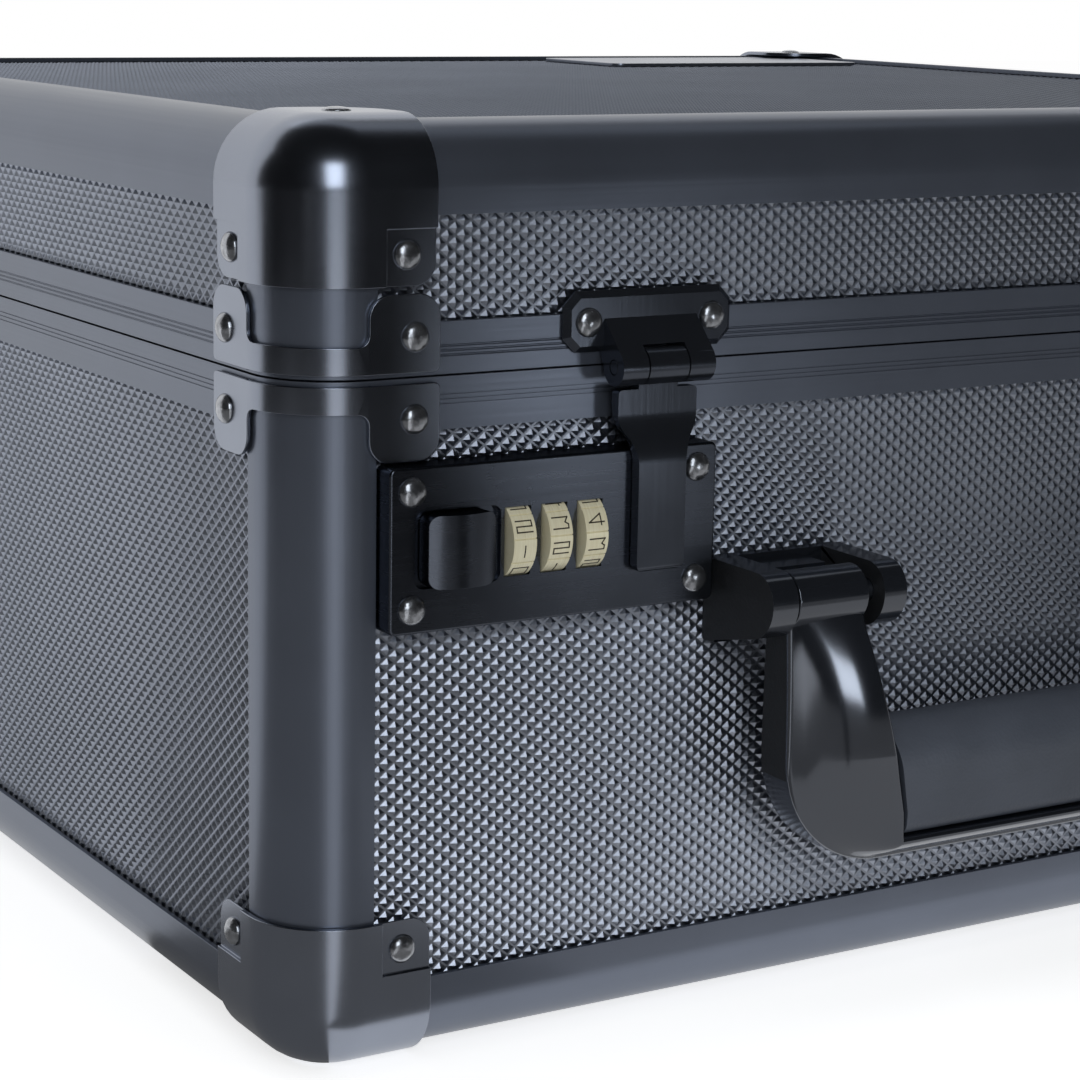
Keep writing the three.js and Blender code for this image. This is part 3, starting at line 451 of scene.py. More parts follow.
# The corner posts are quarter-round aluminium extrusions that stand at the base's four
# upright edges, with a groove on each side for a panel's end.
post_groove = 12.4 * mm
rim_top = seam - half_gap
web_foot = rim_top - rim_web
post_foot = leg_top + gap
post_top = web_foot - gap

post = rounded_block("base_corner_post_front_left_shown", 0, post_foot, post_top)
combine(post, add_block("square", (left - beyond, front - beyond, foot),
                        (left + post_leg, front + post_leg, top)), "INTERSECT")
combine(post, add_block("inside", (left + frame_inner, front + frame_inner, foot),
                        (left + post_leg + beyond, front + post_leg + beyond, top)))
combine(post, add_block("front_groove", (left + post_groove, front + lip, foot),
                        (left + post_leg + beyond, front + wall_inner, top)))
combine(post, add_block("side_groove", (left + lip, front + post_groove, foot),
                        (left + wall_inner, front + post_leg + beyond, top)))
soften(post, 0.14 * mm)


def settle_corners(piece, stem, body, slot, paint):
    """Settles the front left piece and its three copies."""
    right_piece = turned_over(piece, stem + "_front_right_shown", x=0)
    copies = {
        "front_left": piece,
        "front_right": right_piece,
        "back_left": turned_over(piece, stem + "_back_left_shown", y=middle),
        "back_right": turned_over(right_piece, stem + "_back_right_shown", y=middle),
    }
    for corner, each in copies.items():
        settle(each, body, slot, paint, f"{stem}_{corner}")


settle_corners(post, "base_corner_post", "base", "black_anodised_aluminium", post_paint)

# The rims are aluminium profiles that cap the walls and close on each other. The base one
# carries a raised tongue, and both have fine drawn lines along their outer face.
rim_height = 9 * mm
tongue_outer, tongue_inner, tongue_rise = 7.75 * mm, 8.95 * mm, 4 * mm
line_places = (3.1 * mm, 3.9 * mm, 4.7 * mm)
line_width, line_depth = 0.28 * mm, 0.22 * mm


def drawn_lines(piece, start, way):
    for place in line_places:
        low = start + way * place
        combine(piece, hoop("line", -beyond, line_depth, low, low + line_width))


rim_foot = rim_top - rim_height
base_rim = hoop("base_rim_shown", 0, frame_inner, rim_foot, rim_top)
combine(base_rim, hoop("groove", lip, wall_inner, rim_foot - beyond, web_foot))
combine(base_rim, corner_squares(post_leg + gap, rim_foot - beyond, web_foot))
combine(base_rim, hoop("web", wall_inner, tongue_inner, web_foot, rim_top), "UNION")
combine(base_rim, hoop("tongue", tongue_outer, tongue_inner, web_foot, seam + tongue_rise), "UNION")
drawn_lines(base_rim, rim_top, -1)
lid_rim_foot = seam + half_gap
lid_web_top = lid_rim_foot + rim_web
lid_rim = hoop("lid_rim_shown", 0, frame_inner, lid_rim_foot, lid_rim_foot + rim_height)
combine(lid_rim, hoop("groove", lip, wall_inner, lid_web_top, lid_rim_foot + rim_height + beyond))
combine(lid_rim, corner_squares(post_leg + gap, lid_web_top, lid_rim_foot + rim_height + beyond))
drawn_lines(lid_rim, lid_rim_foot, 1)
for piece, body, node in ((base_rim, "base", "base_rim"), (lid_rim, "lid", "lid_rim")):
    soften(piece, 0.1 * mm, 1)
    settle(piece, body, "black_anodised_aluminium", rail_paint, node)

# The panels are dark aluminium skins pressed all over in small staggered pyramids and bonded
# to board. Each is held in the grooves of the frame round it.
pyramid_wide, pyramid_tall, pyramid_height = 3.08 * mm, 2.5 * mm, 0.5 * mm
valley = 0.19 * mm
skin_inset = 1.5 * mm
panel_thickness = 4.8 * mm


def embossed_sheet(name, wide, tall, flat=valley):
    """A panel lying face up, with its pyramids on a flat net at z = 0."""
    count = math.ceil(wide / pyramid_wide + tall / pyramid_tall) + 2
    count += count % 2
    bpy.ops.object.select_all(action="DESELECT")
    bpy.ops.mesh.primitive_grid_add(x_subdivisions=count, y_subdivisions=count, size=count)
    sheet = bpy.context.object
    sheet.name = sheet.data.name = name
    bpy.ops.object.mode_set(mode="EDIT")
    bpy.ops.mesh.select_all(action="SELECT")
    bpy.ops.transform.rotate(value=math.pi / 4, orient_axis="Z", center_override=(0, 0, 0))
    diagonal = math.sqrt(2)
    bpy.ops.transform.resize(
        value=(pyramid_wide / diagonal, pyramid_tall / diagonal, 1), center_override=(0, 0, 0))
    if flat:
        bpy.ops.mesh.inset(thickness=flat, use_individual=True)
    bpy.ops.mesh.poke(offset=pyramid_height)
    for side in ((1, 0, 0), (-1, 0, 0), (0, 1, 0), (0, -1, 0)):
        bpy.ops.mesh.select_all(action="SELECT")
        edge = (side[0] * wide / 2, side[1] * tall / 2, 0)
        bpy.ops.mesh.bisect(plane_co=edge, plane_no=side, clear_outer=True)
    pick("EDGE", lambda each: each.is_boundary)
    bpy.ops.mesh.extrude_edges_move(TRANSFORM_OT_translate={"value": (0, 0, -panel_thickness)})
    bpy.ops.transform.resize(value=(1, 1, 0), center_override=(0, 0, -panel_thickness))
    bpy.ops.mesh.edge_face_add()
    bpy.ops.mesh.select_all(action="SELECT")
    bpy.ops.mesh.normals_make_consistent(inside=False)
    leave()
    return sheet


def stand(piece, turn, place):
    """Turns a piece about the origin and moves it to its place, all in its mesh."""
    piece.data.transform(Matrix.Translation(place) @ turn)
    return piece


face_front = Matrix.Rotation(math.pi / 2, 4, "X")
face_left = Matrix.Rotation(-math.pi / 2, 4, "Z") @ face_front
panel_paint, panel_shader, panel_place = finish(
    "diamond_skin", grey(0.33, 1.25), 0.34, 1, Specular_Tint=grey(0.35))
panel_cloud = noise(panel_place, 30)
panel_grain = noise(panel_place, 2600, detail=2)
dress(panel_shader, panel_cloud.between(grey(0.29, 1.25), grey(0.36, 1.25)),
      0.28 + 0.12 * panel_grain, bump(panel_grain, 0.008 * mm))

wall_foot = foot + edge_groove + gap
wall_tall = post_top - wall_foot
wall_middle = (post_top + wall_foot) / 2
end_gap = post_groove + gap
front_wide = right - left - 2 * end_gap
side_wide = back - front - 2 * end_gap
front_panel = embossed_sheet("base_panel_front_shown", front_wide, wall_tall)
stand(front_panel, face_front, (0, front + skin_inset, wall_middle))
back_panel = turned_over(front_panel, "base_panel_back_shown", y=middle)
left_panel = embossed_sheet("base_panel_left_shown", side_wide, wall_tall)
stand(left_panel, face_left, (left + skin_inset, middle, wall_middle))
right_panel = turned_over(left_panel, "base_panel_right_shown", x=0)
lock_low, lock_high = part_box("lock_plate_left")
housing_left = lock_low.x + 8 * mm
housing_wide, housing_tall = 50 * mm, 21.6 * mm
housing_foot = (lock_low.z + lock_high.z) / 2 - housing_tall / 2
for side in (1, -1):
    low_x, high_x = sorted((side * (housing_left - gap), side * (housing_left + housing_wide + gap)))
    cutout = add_block("cutout", (low_x, front - beyond, housing_foot - gap),
                       (high_x, front + 2 * beyond, housing_foot + housing_tall + gap))
    combine(front_panel, cutout, solver="MANIFOLD")
wall_panels = {"front": front_panel, "back": back_panel, "left": left_panel, "right": right_panel}
for side, piece in wall_panels.items():
    settle(piece, "base", "diamond_textured_panel", panel_paint, "base_panel_" + side, smooth=1)

band_foot, band_top = lid_post_foot, top - edge_groove - gap
band_tall, band_middle = band_top - band_foot, (band_top + band_foot) / 2
front_band = embossed_sheet("front_band", front_wide, band_tall)
stand(front_band, face_front, (0, front + skin_inset, band_middle))
left_band = embossed_sheet("left_band", side_wide, band_tall)
stand(left_band, face_left, (left + skin_inset, middle, band_middle))
lid_band = join("lid_wall_band_shown", [
    front_band,
    turned_over(front_band, "back_band", y=middle),
    left_band,
    turned_over(left_band, "right_band", x=0),
])
settle(lid_band, "lid", "diamond_textured_panel", panel_paint, "lid_wall_band", smooth=1)

floor_gap = edge_groove + gap
lid_panel = embossed_sheet(
    "lid_panel_top_shown", right - left - 2 * floor_gap, back - front - 2 * floor_gap, 0)
stand(lid_panel, Matrix.Identity(4), (0, middle, top - skin_inset))
settle(lid_panel, "lid", "diamond_textured_panel", panel_paint, "lid_panel_top", smooth=1)

# The floor panel is a plain board with a fine matt film on its underside. It lies in the
# groove of the lower edge frame.
board_paint, board_shader, board_place = finish("board_film", grey(0.035, 1.1), 0.55)
board_grain = noise(board_place, 900, detail=4)
board_cloud = noise(board_place, 22)
dress(board_shader, board_cloud.between(grey(0.03, 1.1), grey(0.043, 1.1)),
      0.45 + 0.2 * board_grain, bump(board_grain, 0.03 * mm))
board = rounded_block("base_panel_bottom_shown", floor_gap, foot + lip + gap, foot + wall_inner - gap)
soften(board, 0.3 * mm)
settle(board, "base", "panel_board", board_paint, "base_panel_bottom")

# The ball corners are caps of pressed steel, coated satin black. Two flaps with a stepped
# square each lie on the walls and take a rivet.
cap_proud, cap_wall = 1.2 * mm, 0.95 * mm
cap_reach = 26.7 * mm
cap_step, cap_drop = 17.2 * mm, 0.45 * mm
cap_corner, cap_plan_corner = 4 * mm, 11 * mm
cap_top = foot + cap_reach

cap_paint, cap_shader, cap_place = finish("satin_corner", grey(0.22, 1.3), 0.2, 1, Specular_Tint=grey(0.9))
cap_cloud = noise(cap_place, 60, detail=4)
cap_grain = noise(cap_place, 1500)
dress(cap_shader, cap_cloud.between(grey(0.22, 1.3), grey(0.29, 1.3)),
      0.19 + 0.08 * cap_cloud + 0.02 * cap_grain, bump(cap_grain, 0.0015 * mm))

cap = rounded_block("base_ball_corner_front_left_shown", -cap_proud, foot - cap_proud, cap_top,
                    edge_radius + cap_proud)
cap_quarter = add_block("quarter", (left - beyond, front - beyond, foot - beyond),
                        (left + cap_reach, front + cap_reach, cap_top))
round_edges(cap_quarter, lambda edge: lies(edge, x=left + cap_reach, z=cap_top), cap_corner)
combine(cap, cap_quarter, "INTERSECT")
cap_side = add_block("side", (left - beyond, front - beyond, foot - beyond),
                     (left + cap_reach + beyond, front + cap_reach, cap_top))
round_edges(cap_side, lambda edge: lies(edge, y=front + cap_reach, z=cap_top), cap_corner)
combine(cap, cap_side, "INTERSECT")
cap_plan = add_block("plan", (left - beyond, front - beyond, foot - beyond),
                     (left + cap_reach, front + cap_reach, cap_top + beyond))
round_edges(cap_plan, lambda edge: lies(edge, x=left + cap_reach, y=front + cap_reach), cap_plan_corner)
combine(cap, cap_plan, "INTERSECT")
hollow = cap_proud - cap_wall
combine(cap, rounded_block("hollow", -hollow, foot - hollow, cap_top + beyond, edge_radius + hollow))
step_foot = cap_top - (cap_reach - cap_step)
step_out = cap_proud - cap_drop - 0.2 * mm
combine(cap, add_block("step", (left + cap_step, front - beyond, step_foot),
                       (right, front - step_out, cap_top + beyond)))
combine(cap, add_block("step", (left - beyond, front + cap_step, step_foot),
                       (left - step_out, back, cap_top + beyond)))
soften(cap, 0.26 * mm, 3)
lid_cap = turned_over(cap, "lid_ball_corner_front_left_shown", z=centre_height)
settle_corners(cap, "base_ball_corner", "base", "black_corner_steel", cap_paint)
settle_corners(lid_cap, "lid_ball_corner", "lid", "black_corner_steel", cap_paint)

# The rim brackets are steel straps bent round each upright edge, one on either side of the
# seam, with a riveted tab on each wall.
strap_proud = 1 * mm
strap_start, strap_reach = 14.1 * mm, 27.4 * mm
strap_top = seam - 0.9 * mm
strap_band, strap_tab = 4.7 * mm, 13.2 * mm
tab_corner, tab_shoulder, tab_top_corner = 4 * mm, 2 * mm, 1 * mm
band_low, tab_low = strap_top - strap_band, strap_top - strap_tab


def tab_tool(side):
    """The outline of one tab and its half of the band, as a block through one wall."""
    def slab(start, end, low):
        if side == "front":
            return add_block("slab", (left + start, front - beyond, low),
                             (left + end, front + strap_start, strap_top))
        return add_block("slab", (left - beyond, front + start, low),
                         (left + strap_start, front + end, strap_top))

    along, base_line = ("x", left) if side == "front" else ("y", front)
    tool = slab(strap_start, strap_reach, tab_low)

    def rounded(z, reach, radius, steps):
        round_edges(tool, lambda edge: lies(edge, z=z, **{along: base_line + reach}), radius, steps)

    rounded(tab_low, strap_reach, tab_corner, 8)
    rounded(tab_low, strap_start, tab_corner, 8)
    rounded(strap_top, strap_reach, tab_top_corner, 4)
    combine(tool, slab(-beyond, strap_start + gap, band_low), "UNION")
    rounded(band_low, strap_start, tab_shoulder, 6)
    return tool


strap = hoop("base_rim_bracket_front_left_shown", -strap_proud, -gap, tab_low - beyond, strap_top + beyond)
combine(strap, combine(tab_tool("front"), tab_tool("left"), "UNION"), "INTERSECT")
soften(strap, 0.24 * mm, 3)
lid_strap = turned_over(strap, "lid_rim_bracket_front_left_shown", z=seam)
settle_corners(strap, "base_rim_bracket", "base", "black_corner_steel", cap_paint)
settle_corners(lid_strap, "lid_rim_bracket", "lid", "black_corner_steel", cap_paint)

# The rivets are domed steel heads, polished and blackened, that hold the corners, the straps
# and the latch parts to the case.
rivet_radius, rivet_rise = 2.6 * mm, 1.45 * mm
rivet_paint, rivet_shader, rivet_place = finish("polished_rivet", grey(0.25, 1.1), 0.2, 0.95)
rivet_dents = noise(rivet_place, 700, detail=2)
dress(rivet_shader, rivet_dents.between(grey(0.08, 1.1), grey(0.6, 1.1)),
      0.16 + 0.16 * rivet_dents, bump(rivet_dents, 0.1 * mm))


def add_rivet(place, outward, flatness=1.0):
    """A domed head whose foot is at a place, bulging outward."""
    bpy.ops.object.select_all(action="DESELECT")
    bpy.ops.mesh.primitive_uv_sphere_add(segments=28, ring_count=16, radius=1, location=(0, 0, 0))
    head = bpy.context.object
    bpy.ops.object.mode_set(mode="EDIT")
    bpy.ops.mesh.select_all(action="SELECT")
    bpy.ops.mesh.bisect(plane_co=(0, 0, 0), plane_no=(0, 0, 1), clear_inner=True)
    pick("EDGE", lambda edge: edge.is_boundary)
    bpy.ops.mesh.extrude_edges_move(TRANSFORM_OT_translate={"value": (0, 0, -0.25)})
    bpy.ops.mesh.edge_face_add()
    bpy.ops.mesh.select_all(action="SELECT")
    bpy.ops.transform.resize(
        value=(rivet_radius, rivet_radius, rivet_rise * flatness), center_override=(0, 0, 0))
    leave()
    return stand(head, Vector(outward).to_track_quat("Z", "Y").to_matrix().to_4x4(), place)


def mirrored_places(place, outward):
    """A rivet's place at all four upright edges, from the one at the front left."""
    x, y, z = place
    u, v, w = outward
    for across in (1, -1):
        for along in (1, -1):
            spot_y = y if along == 1 else 2 * middle - y
            yield (across * x, spot_y, z), (across * u, along * v, w)


def rivet_set(name, body, slot, places):
    heads = [add_rivet(*place) for place in places]
    settle(join(name, heads), body, slot, rivet_paint)


cap_rivet_inset, crown, crown_flatness = 5.5 * mm, 17 * mm, 0.42
cap_rivet = cap_reach - cap_rivet_inset
cap_rivet_height = cap_top - cap_rivet_inset + gap
strap_rivet = strap_reach - 4.8 * mm
strap_rivet_height = strap_top - 6 * mm
for body in ("base", "lid"):
    places = []
    for along, height, about, out in (
        (cap_rivet, cap_rivet_height, centre_height, step_out),
        (strap_rivet, strap_rivet_height, seam, strap_proud),
    ):
        if body == "lid":
            height = 2 * about - height
        places += mirrored_places((left + along, front - out, height), (0, -1, 0))
        places += mirrored_places((left - out, front + along, height), (-1, 0, 0))
    if body == "lid":
        crowns = mirrored_places((left + crown, front + crown, top + cap_proud), (0, 0, 1))
        places += [(*place, crown_flatness) for place in crowns]
    rivet_set(body + "_rivets", body, "black_corner_steel", places)

# The card tray is cut from black closed-cell foam: three long rows for cards that stand on
# edge, with two notches at the front for the lock housings.
foam_paint, foam_shader, foam_place = finish("cut_foam", grey(0.035), 0.92, Specular_IOR_Level=0.25)
foam_cells = foam_place.node("TexVoronoi", None, {"Vector": foam_place, "Scale": 900.0})
foam_cloud = noise(foam_place, 40, detail=5)
dress(foam_shader, foam_cloud.between(grey(0.026), grey(0.046)),
      0.85 + 0.1 * foam_cells, bump(foam_cells + 0.6 * foam_cloud, 0.22 * mm))

tray_inset = 9.3 * mm
tray_foot, tray_top = foot + frame_inner + gap, rim_top - 0.6 * mm
tray_floor = tray_foot + 6.5 * mm
row_wide, row_count = 87 * mm, 3
notch_gap, notch_deep = 4 * mm, 4.6 * mm
row_pitch = (right - left - 2 * tray_inset + row_wide) / (row_count + 1)
row_front, row_back = front + tray_inset + 10.4 * mm, back - tray_inset - 8 * mm
tray = rounded_block("card_tray_shown", tray_inset, tray_foot, tray_top)
for row in range(row_count):
    centre = (row - (row_count - 1) / 2) * row_pitch
    space = add_block("row", (centre - row_wide / 2, row_front, tray_floor),
                      (centre + row_wide / 2, row_back, tray_top + beyond))
    round_edges(space, lambda edge: runs(edge, "z"), 3 * mm, 6)
    combine(tray, space)
for side in (1, -1):
    low_x, high_x = sorted((side * (housing_left - notch_gap),
                            side * (housing_left + housing_wide + notch_gap)))
    combine(tray, add_block("notch", (low_x, front, housing_foot - notch_gap),
                            (high_x, front + tray_inset + notch_deep, tray_top + beyond)))
soften(tray, 0.9 * mm, 3)
settle(tray, "base", "black_foam", foam_paint, "card_tray")

# The lid foam is a flat pad glued under the lid's panel, scored with a grid of shallow
# grooves so that it presses softly on the cards.
pad_thickness = 5.4 * mm
pad_top = top - wall_inner - gap
pad_low = pad_top - pad_thickness
pad_inset = edge_flange + gap
pad = rounded_block("lid_foam_shown", pad_inset, pad_low, pad_top)
score_wide, score_deep = 1.6 * mm, 2.2 * mm
for count, start, end, along in (
    (11, left + pad_inset, right - pad_inset, "x"),
    (10, front + pad_inset, back - pad_inset, "y"),
):
    for step in range(1, count + 1):
        spot = start + (end - start) * step / (count + 1)
        if along == "x":
            score = add_block("score", (spot - score_wide / 2, front, pad_low - beyond),
                              (spot + score_wide / 2, back, pad_low + score_deep))
        else:
            score = add_block("score", (left, spot - score_wide / 2, pad_low - beyond),
                              (right, spot + score_wide / 2, pad_low + score_deep))
        combine(pad, score)
soften(pad, 0.7 * mm, 3)
settle(pad, "lid", "black_foam", foam_paint, "lid_foam")

# The lock plates are flat castings, coated black, riveted at four corners. Each has a recess
# for the sliding button, three openings for the dials and a channel for the hasp's keeper.
plate_left, plate_right = lock_low.x, lock_high.x
plate_foot, plate_top = lock_low.z, lock_high.z
plate_face = front - 4.2 * mm
plate_back = front + lip
dial_radius, dial_width, dial_pitch = 7 * mm, 4.5 * mm, 7.2 * mm
dial_start = plate_left + 24.6 * mm
dial_y, dial_z = plate_face + 4.2 * mm, (plate_foot + plate_top) / 2
dial_clear = 0.3 * mm
button_left, button_wide, button_tall = plate_left + 6.1 * mm, 12.9 * mm, 12.6 * mm
button_foot, button_travel = dial_z - button_tall / 2, 2 * mm
recess_back = plate_face + 1.3 * mm
bolt_front = recess_back + 0.8 * mm + dial_clear
bolt_back = bolt_front + 1.6 * mm
bolt_foot, bolt_tall = housing_foot - 0.8 * mm, 3 * mm
stem_left, stem_wide = button_left + button_wide / 4, 6 * mm
stem_foot, stem_tall = bolt_foot + 6.8 * mm, 4 * mm
hasp_x = plate_left + 52.3 * mm
keeper_wide, keeper_tall = 4.8 * mm, 3 * mm
hasp_foot = seam - 36.1 * mm
keeper_foot = hasp_foot + 1 * mm
nose_left, nose_wide = hasp_x + keeper_wide / 2 + 0.6 * mm, 2.4 * mm
housing_front, housing_back = plate_face + 2.1 * mm, front + 12.2 * mm
recess_start = button_left - 1.3 * mm
channel_back, channel_foot = plate_face + 3.6 * mm, keeper_foot - 0.8 * mm

lock_paint, lock_shader, lock_place = finish(
    "satin_lock_plate", grey(0.12, 1.35), 0.26, 1, Specular_Tint=grey(0.5))
lock_cloud = noise(lock_place, 70, detail=4)
lock_brush = noise(lock_place, 90, (0.3, 0.3, 14), 4)
dress(lock_shader, lock_cloud.between(grey(0.075, 1.35), grey(0.11, 1.35)),
      0.18 + 0.1 * lock_cloud + 0.08 * lock_brush, bump(lock_brush, 0.006 * mm))


def add_rod(name, radius, start, end, y, z, sides=48):
    """A round bar along X."""
    bpy.ops.object.select_all(action="DESELECT")
    bpy.ops.mesh.primitive_cylinder_add(vertices=sides, radius=radius, depth=end - start, location=(0, 0, 0))
    rod = bpy.context.object
    rod.name = rod.data.name = name
    return stand(rod, Matrix.Rotation(math.pi / 2, 4, "Y"), ((start + end) / 2, y, z))


def solid_between(name, x, y, z):
    return add_block(name, (x[0], y[0], z[0]), (x[1], y[1], z[1]))


def settle_pair(piece, stem, body, slot, paint):
    """Settles a left piece and its mirror image. A body that ends in _ gets the side's name."""
    twin = turned_over(piece, stem + "_right_shown", x=0)
    for side, each in (("left", piece), ("right", twin)):
        rides = body + side if body.endswith("_") else body
        settle(each, rides, slot, paint, f"{stem}_{side}")


plate = solid_between("lock_plate_left_shown", (plate_left, plate_right), (plate_face, plate_back),
                      (plate_foot, plate_top))
round_edges(plate, lambda edge: runs(edge, "y"), 1.2 * mm, 5)
round_edges(plate, lambda edge: lies(edge, y=plate_face), 0.5 * mm, 3)
combine(plate, solid_between(
    "housing", (housing_left, housing_left + housing_wide), (housing_front, housing_back),
    (housing_foot, housing_foot + housing_tall)), "UNION")
recess = solid_between(
    "recess", (recess_start, button_left + button_wide + button_travel + dial_clear),
    (plate_face - beyond, recess_back), (button_foot - dial_clear, button_foot + button_tall + dial_clear))
round_edges(recess, lambda edge: runs(edge, "y"), 1.6 * mm, 5)
combine(plate, recess)
stem_way_x = (stem_left - dial_clear, stem_left + stem_wide + button_travel + dial_clear)
combine(plate, solid_between("stem_slot", stem_way_x, (plate_face - beyond, bolt_back + dial_clear),
                             (stem_foot - dial_clear, stem_foot + stem_tall + dial_clear)))
bolt_way_x = (stem_way_x[0], nose_left + nose_wide + button_travel + dial_clear)
bolt_way_y = (bolt_front - dial_clear, bolt_back + dial_clear)
combine(plate, solid_between("bolt_way", bolt_way_x, bolt_way_y,
                             (bolt_foot - dial_clear, bolt_foot + bolt_tall + dial_clear)))
combine(plate, solid_between("stem_way", stem_way_x, bolt_way_y, (bolt_foot, stem_foot + stem_tall)))
combine(plate, solid_between(
    "nose_way", (nose_left - dial_clear, bolt_way_x[1]), bolt_way_y,
    (bolt_foot, keeper_foot + keeper_tall + dial_clear)))
combine(plate, solid_between(
    "keeper_channel", (hasp_x - keeper_wide / 2 - dial_clear, hasp_x + keeper_wide / 2 + dial_clear),
    (plate_face - beyond, channel_back), (channel_foot, plate_top + beyond)))
dial_starts = [dial_start - dial_width / 2 + number * dial_pitch for number in range(3)]
for start in dial_starts:
    combine(plate, add_rod("pocket", dial_radius + dial_clear, start - dial_clear,
                           start + dial_width + dial_clear, dial_y, dial_z, 64))
axle_start = dial_starts[0] - dial_pitch / 4
combine(plate, add_rod("axle", 1.5 * mm, axle_start, axle_start + 3.25 * dial_pitch,
                       dial_y, dial_z, 32), "UNION")
soften(plate, 0.18 * mm, 2, 40)
settle_pair(plate, "lock_plate", "base", "black_lock_metal", lock_paint)
plate_rivet = 4.2 * mm
rivet_set("lock_rivets", "base", "black_lock_metal", [
    ((sign * x, plate_face, z), (0, -1, 0))
    for sign in (1, -1)
    for x in (plate_left + plate_rivet, plate_right - plate_rivet)
    for z in (plate_foot + plate_rivet, plate_top - plate_rivet)
])

# The lock buttons are crowned caps that slide towards the dials. A stem and a flat bolt
# behind the plate carry the movement to the hasp's keeper.


def add_outline(name, corners, axis, start, end, steps=6):
    """A plate drawn by its corners (across, up, radius) and given its thickness along an axis."""
    bpy.ops.object.select_all(action="DESELECT")
    bpy.ops.mesh.primitive_circle_add(vertices=len(corners), radius=1, fill_type="NGON", location=(0, 0, 0))
    piece = bpy.context.object
    piece.name = piece.data.name = name
    across, up = [each for each in axes if each != axis]

    def place(u, v, w):
        return Vector([{across: u, up: v, axis: w}[each] for each in axes])

    for vertex, corner in zip(piece.data.vertices, corners):
        vertex.co = place(corner[0], corner[1], start)
    bpy.ops.object.mode_set(mode="EDIT")
    bpy.ops.mesh.select_all(action="SELECT")
    bpy.ops.mesh.extrude_region_move(TRANSFORM_OT_translate={"value": place(0, 0, end - start)})
    bpy.ops.mesh.select_all(action="SELECT")
    bpy.ops.mesh.normals_make_consistent(inside=False)
    leave()
    for radius in sorted({corner[2] for corner in corners if len(corner) > 2}):
        spots = [corner for corner in corners if len(corner) > 2 and corner[2] == radius]
        round_edges(piece, lambda edge: runs(edge, axis) and any(
            lies(edge, **{across: spot[0], up: spot[1]}) for spot in spots), radius, steps)
    return piece


cap_front = plate_face - 3.8 * mm
button = solid_between("lock_button_left_shown", (button_left, button_left + button_wide),
                       (cap_front, recess_back - dial_clear), (button_foot, button_foot + button_tall))
round_edges(button, lambda edge: runs(edge, "y"), 1.9 * mm, 6)
crown_drop, crown_steps = 1.5 * mm, 24
crown_radius = ((button_wide / 2) ** 2 + crown_drop ** 2) / (2 * crown_drop)
crown_turn = 1.15 * math.asin(button_wide / 2 / crown_radius)
crown_middle = button_left + button_wide / 2
crown_line = []
for step in range(crown_steps + 1):
    turn = crown_turn * (2 * step / crown_steps - 1)
    crown_line.append((crown_middle + crown_radius * math.sin(turn),
                       cap_front + crown_radius * (1 - math.cos(turn))))
crown_back = recess_back + dial_clear
combine(button, add_outline("crown", [
    *crown_line, (crown_line[-1][0], crown_back), (crown_line[0][0], crown_back),
], "z", button_foot - beyond, button_foot + button_tall + beyond), "INTERSECT")
soften(button, 0.9 * mm, 5, 50)
button_parts = (
    ((stem_left, stem_left + stem_wide), (plate_face, bolt_back), (stem_foot, stem_foot + stem_tall)),
    ((stem_left, stem_left + stem_wide), (bolt_front, bolt_back), (bolt_foot, stem_foot + stem_tall)),
    ((stem_left, nose_left + nose_wide), (bolt_front, bolt_back), (bolt_foot, bolt_foot + bolt_tall)),
    ((nose_left, nose_left + nose_wide), (bolt_front, bolt_back), (bolt_foot, keeper_foot + keeper_tall)),
)
for part in button_parts:
    combine(button, solid_between("stem", *part), "UNION")
soften(button, 0.12 * mm, 2, 40)
settle_pair(button, "lock_button", "button_", "black_lock_metal", lock_paint)

# The dials are brass wheels, brushed round their rim, with ten numbers stamped sideways and
# a cut line between each two.
dial_paint, dial_shader, dial_place = finish("brushed_brass", (0.8, 0.72, 0.48, 1), 0.36, 0.25)
dial_brush = noise(dial_place, 300, (12, 0.6, 0.6), 4)
dial_cloud = noise(dial_place, 220)
dress(dial_shader, dial_brush.between((0.74, 0.65, 0.41, 1), (0.96, 0.92, 0.7, 1)),
      0.24 + 0.2 * dial_cloud, bump(dial_brush, 0.02 * mm))
ink_paint, ink_shader, ink_place = finish("stamped_black", (0.02, 0.014, 0.008, 1), 0.6)
ink_speck = noise(ink_place, 1200)
ink_speck.feed(ink_shader["Base Color"],
               ink_speck.between((0.012, 0.009, 0.006, 1), (0.05, 0.035, 0.015, 1)))
number_count = 10
number_step = 2 * math.pi / number_count
number_wide, number_tall, stroke = 3 * mm, 2 * mm, 0.24 * mm
number_strokes = (
    ((0, 0), (1, 0), (1, 1), (0, 1), (0, 0)),
    ((0.5, 0), (0.5, 1)),
    ((0, 1), (1, 1), (1, 0.5), (0, 0.5), (0, 0), (1, 0)),
    ((0, 1), (1, 1), (0.8, 0.55), (1, 0.35), (1, 0), (0, 0)),
    ((0.8, 0), (0.8, 1), (0, 0.25), (1, 0.25)),
    ((1, 1), (0, 1), (0, 0.5), (1, 0.5), (1, 0), (0, 0)),
    ((1, 1), (0, 1), (0, 0), (1, 0), (1, 0.5), (0, 0.5)),
    ((0, 1), (1, 1), (0.4, 0)),
    ((0, 0.5), (1, 0.5), (1, 1), (0, 1), (0, 0), (1, 0), (1, 0.5)),
    ((1, 0.5), (0, 0.5), (0, 1), (1, 1), (1, 0), (0, 0)),
)


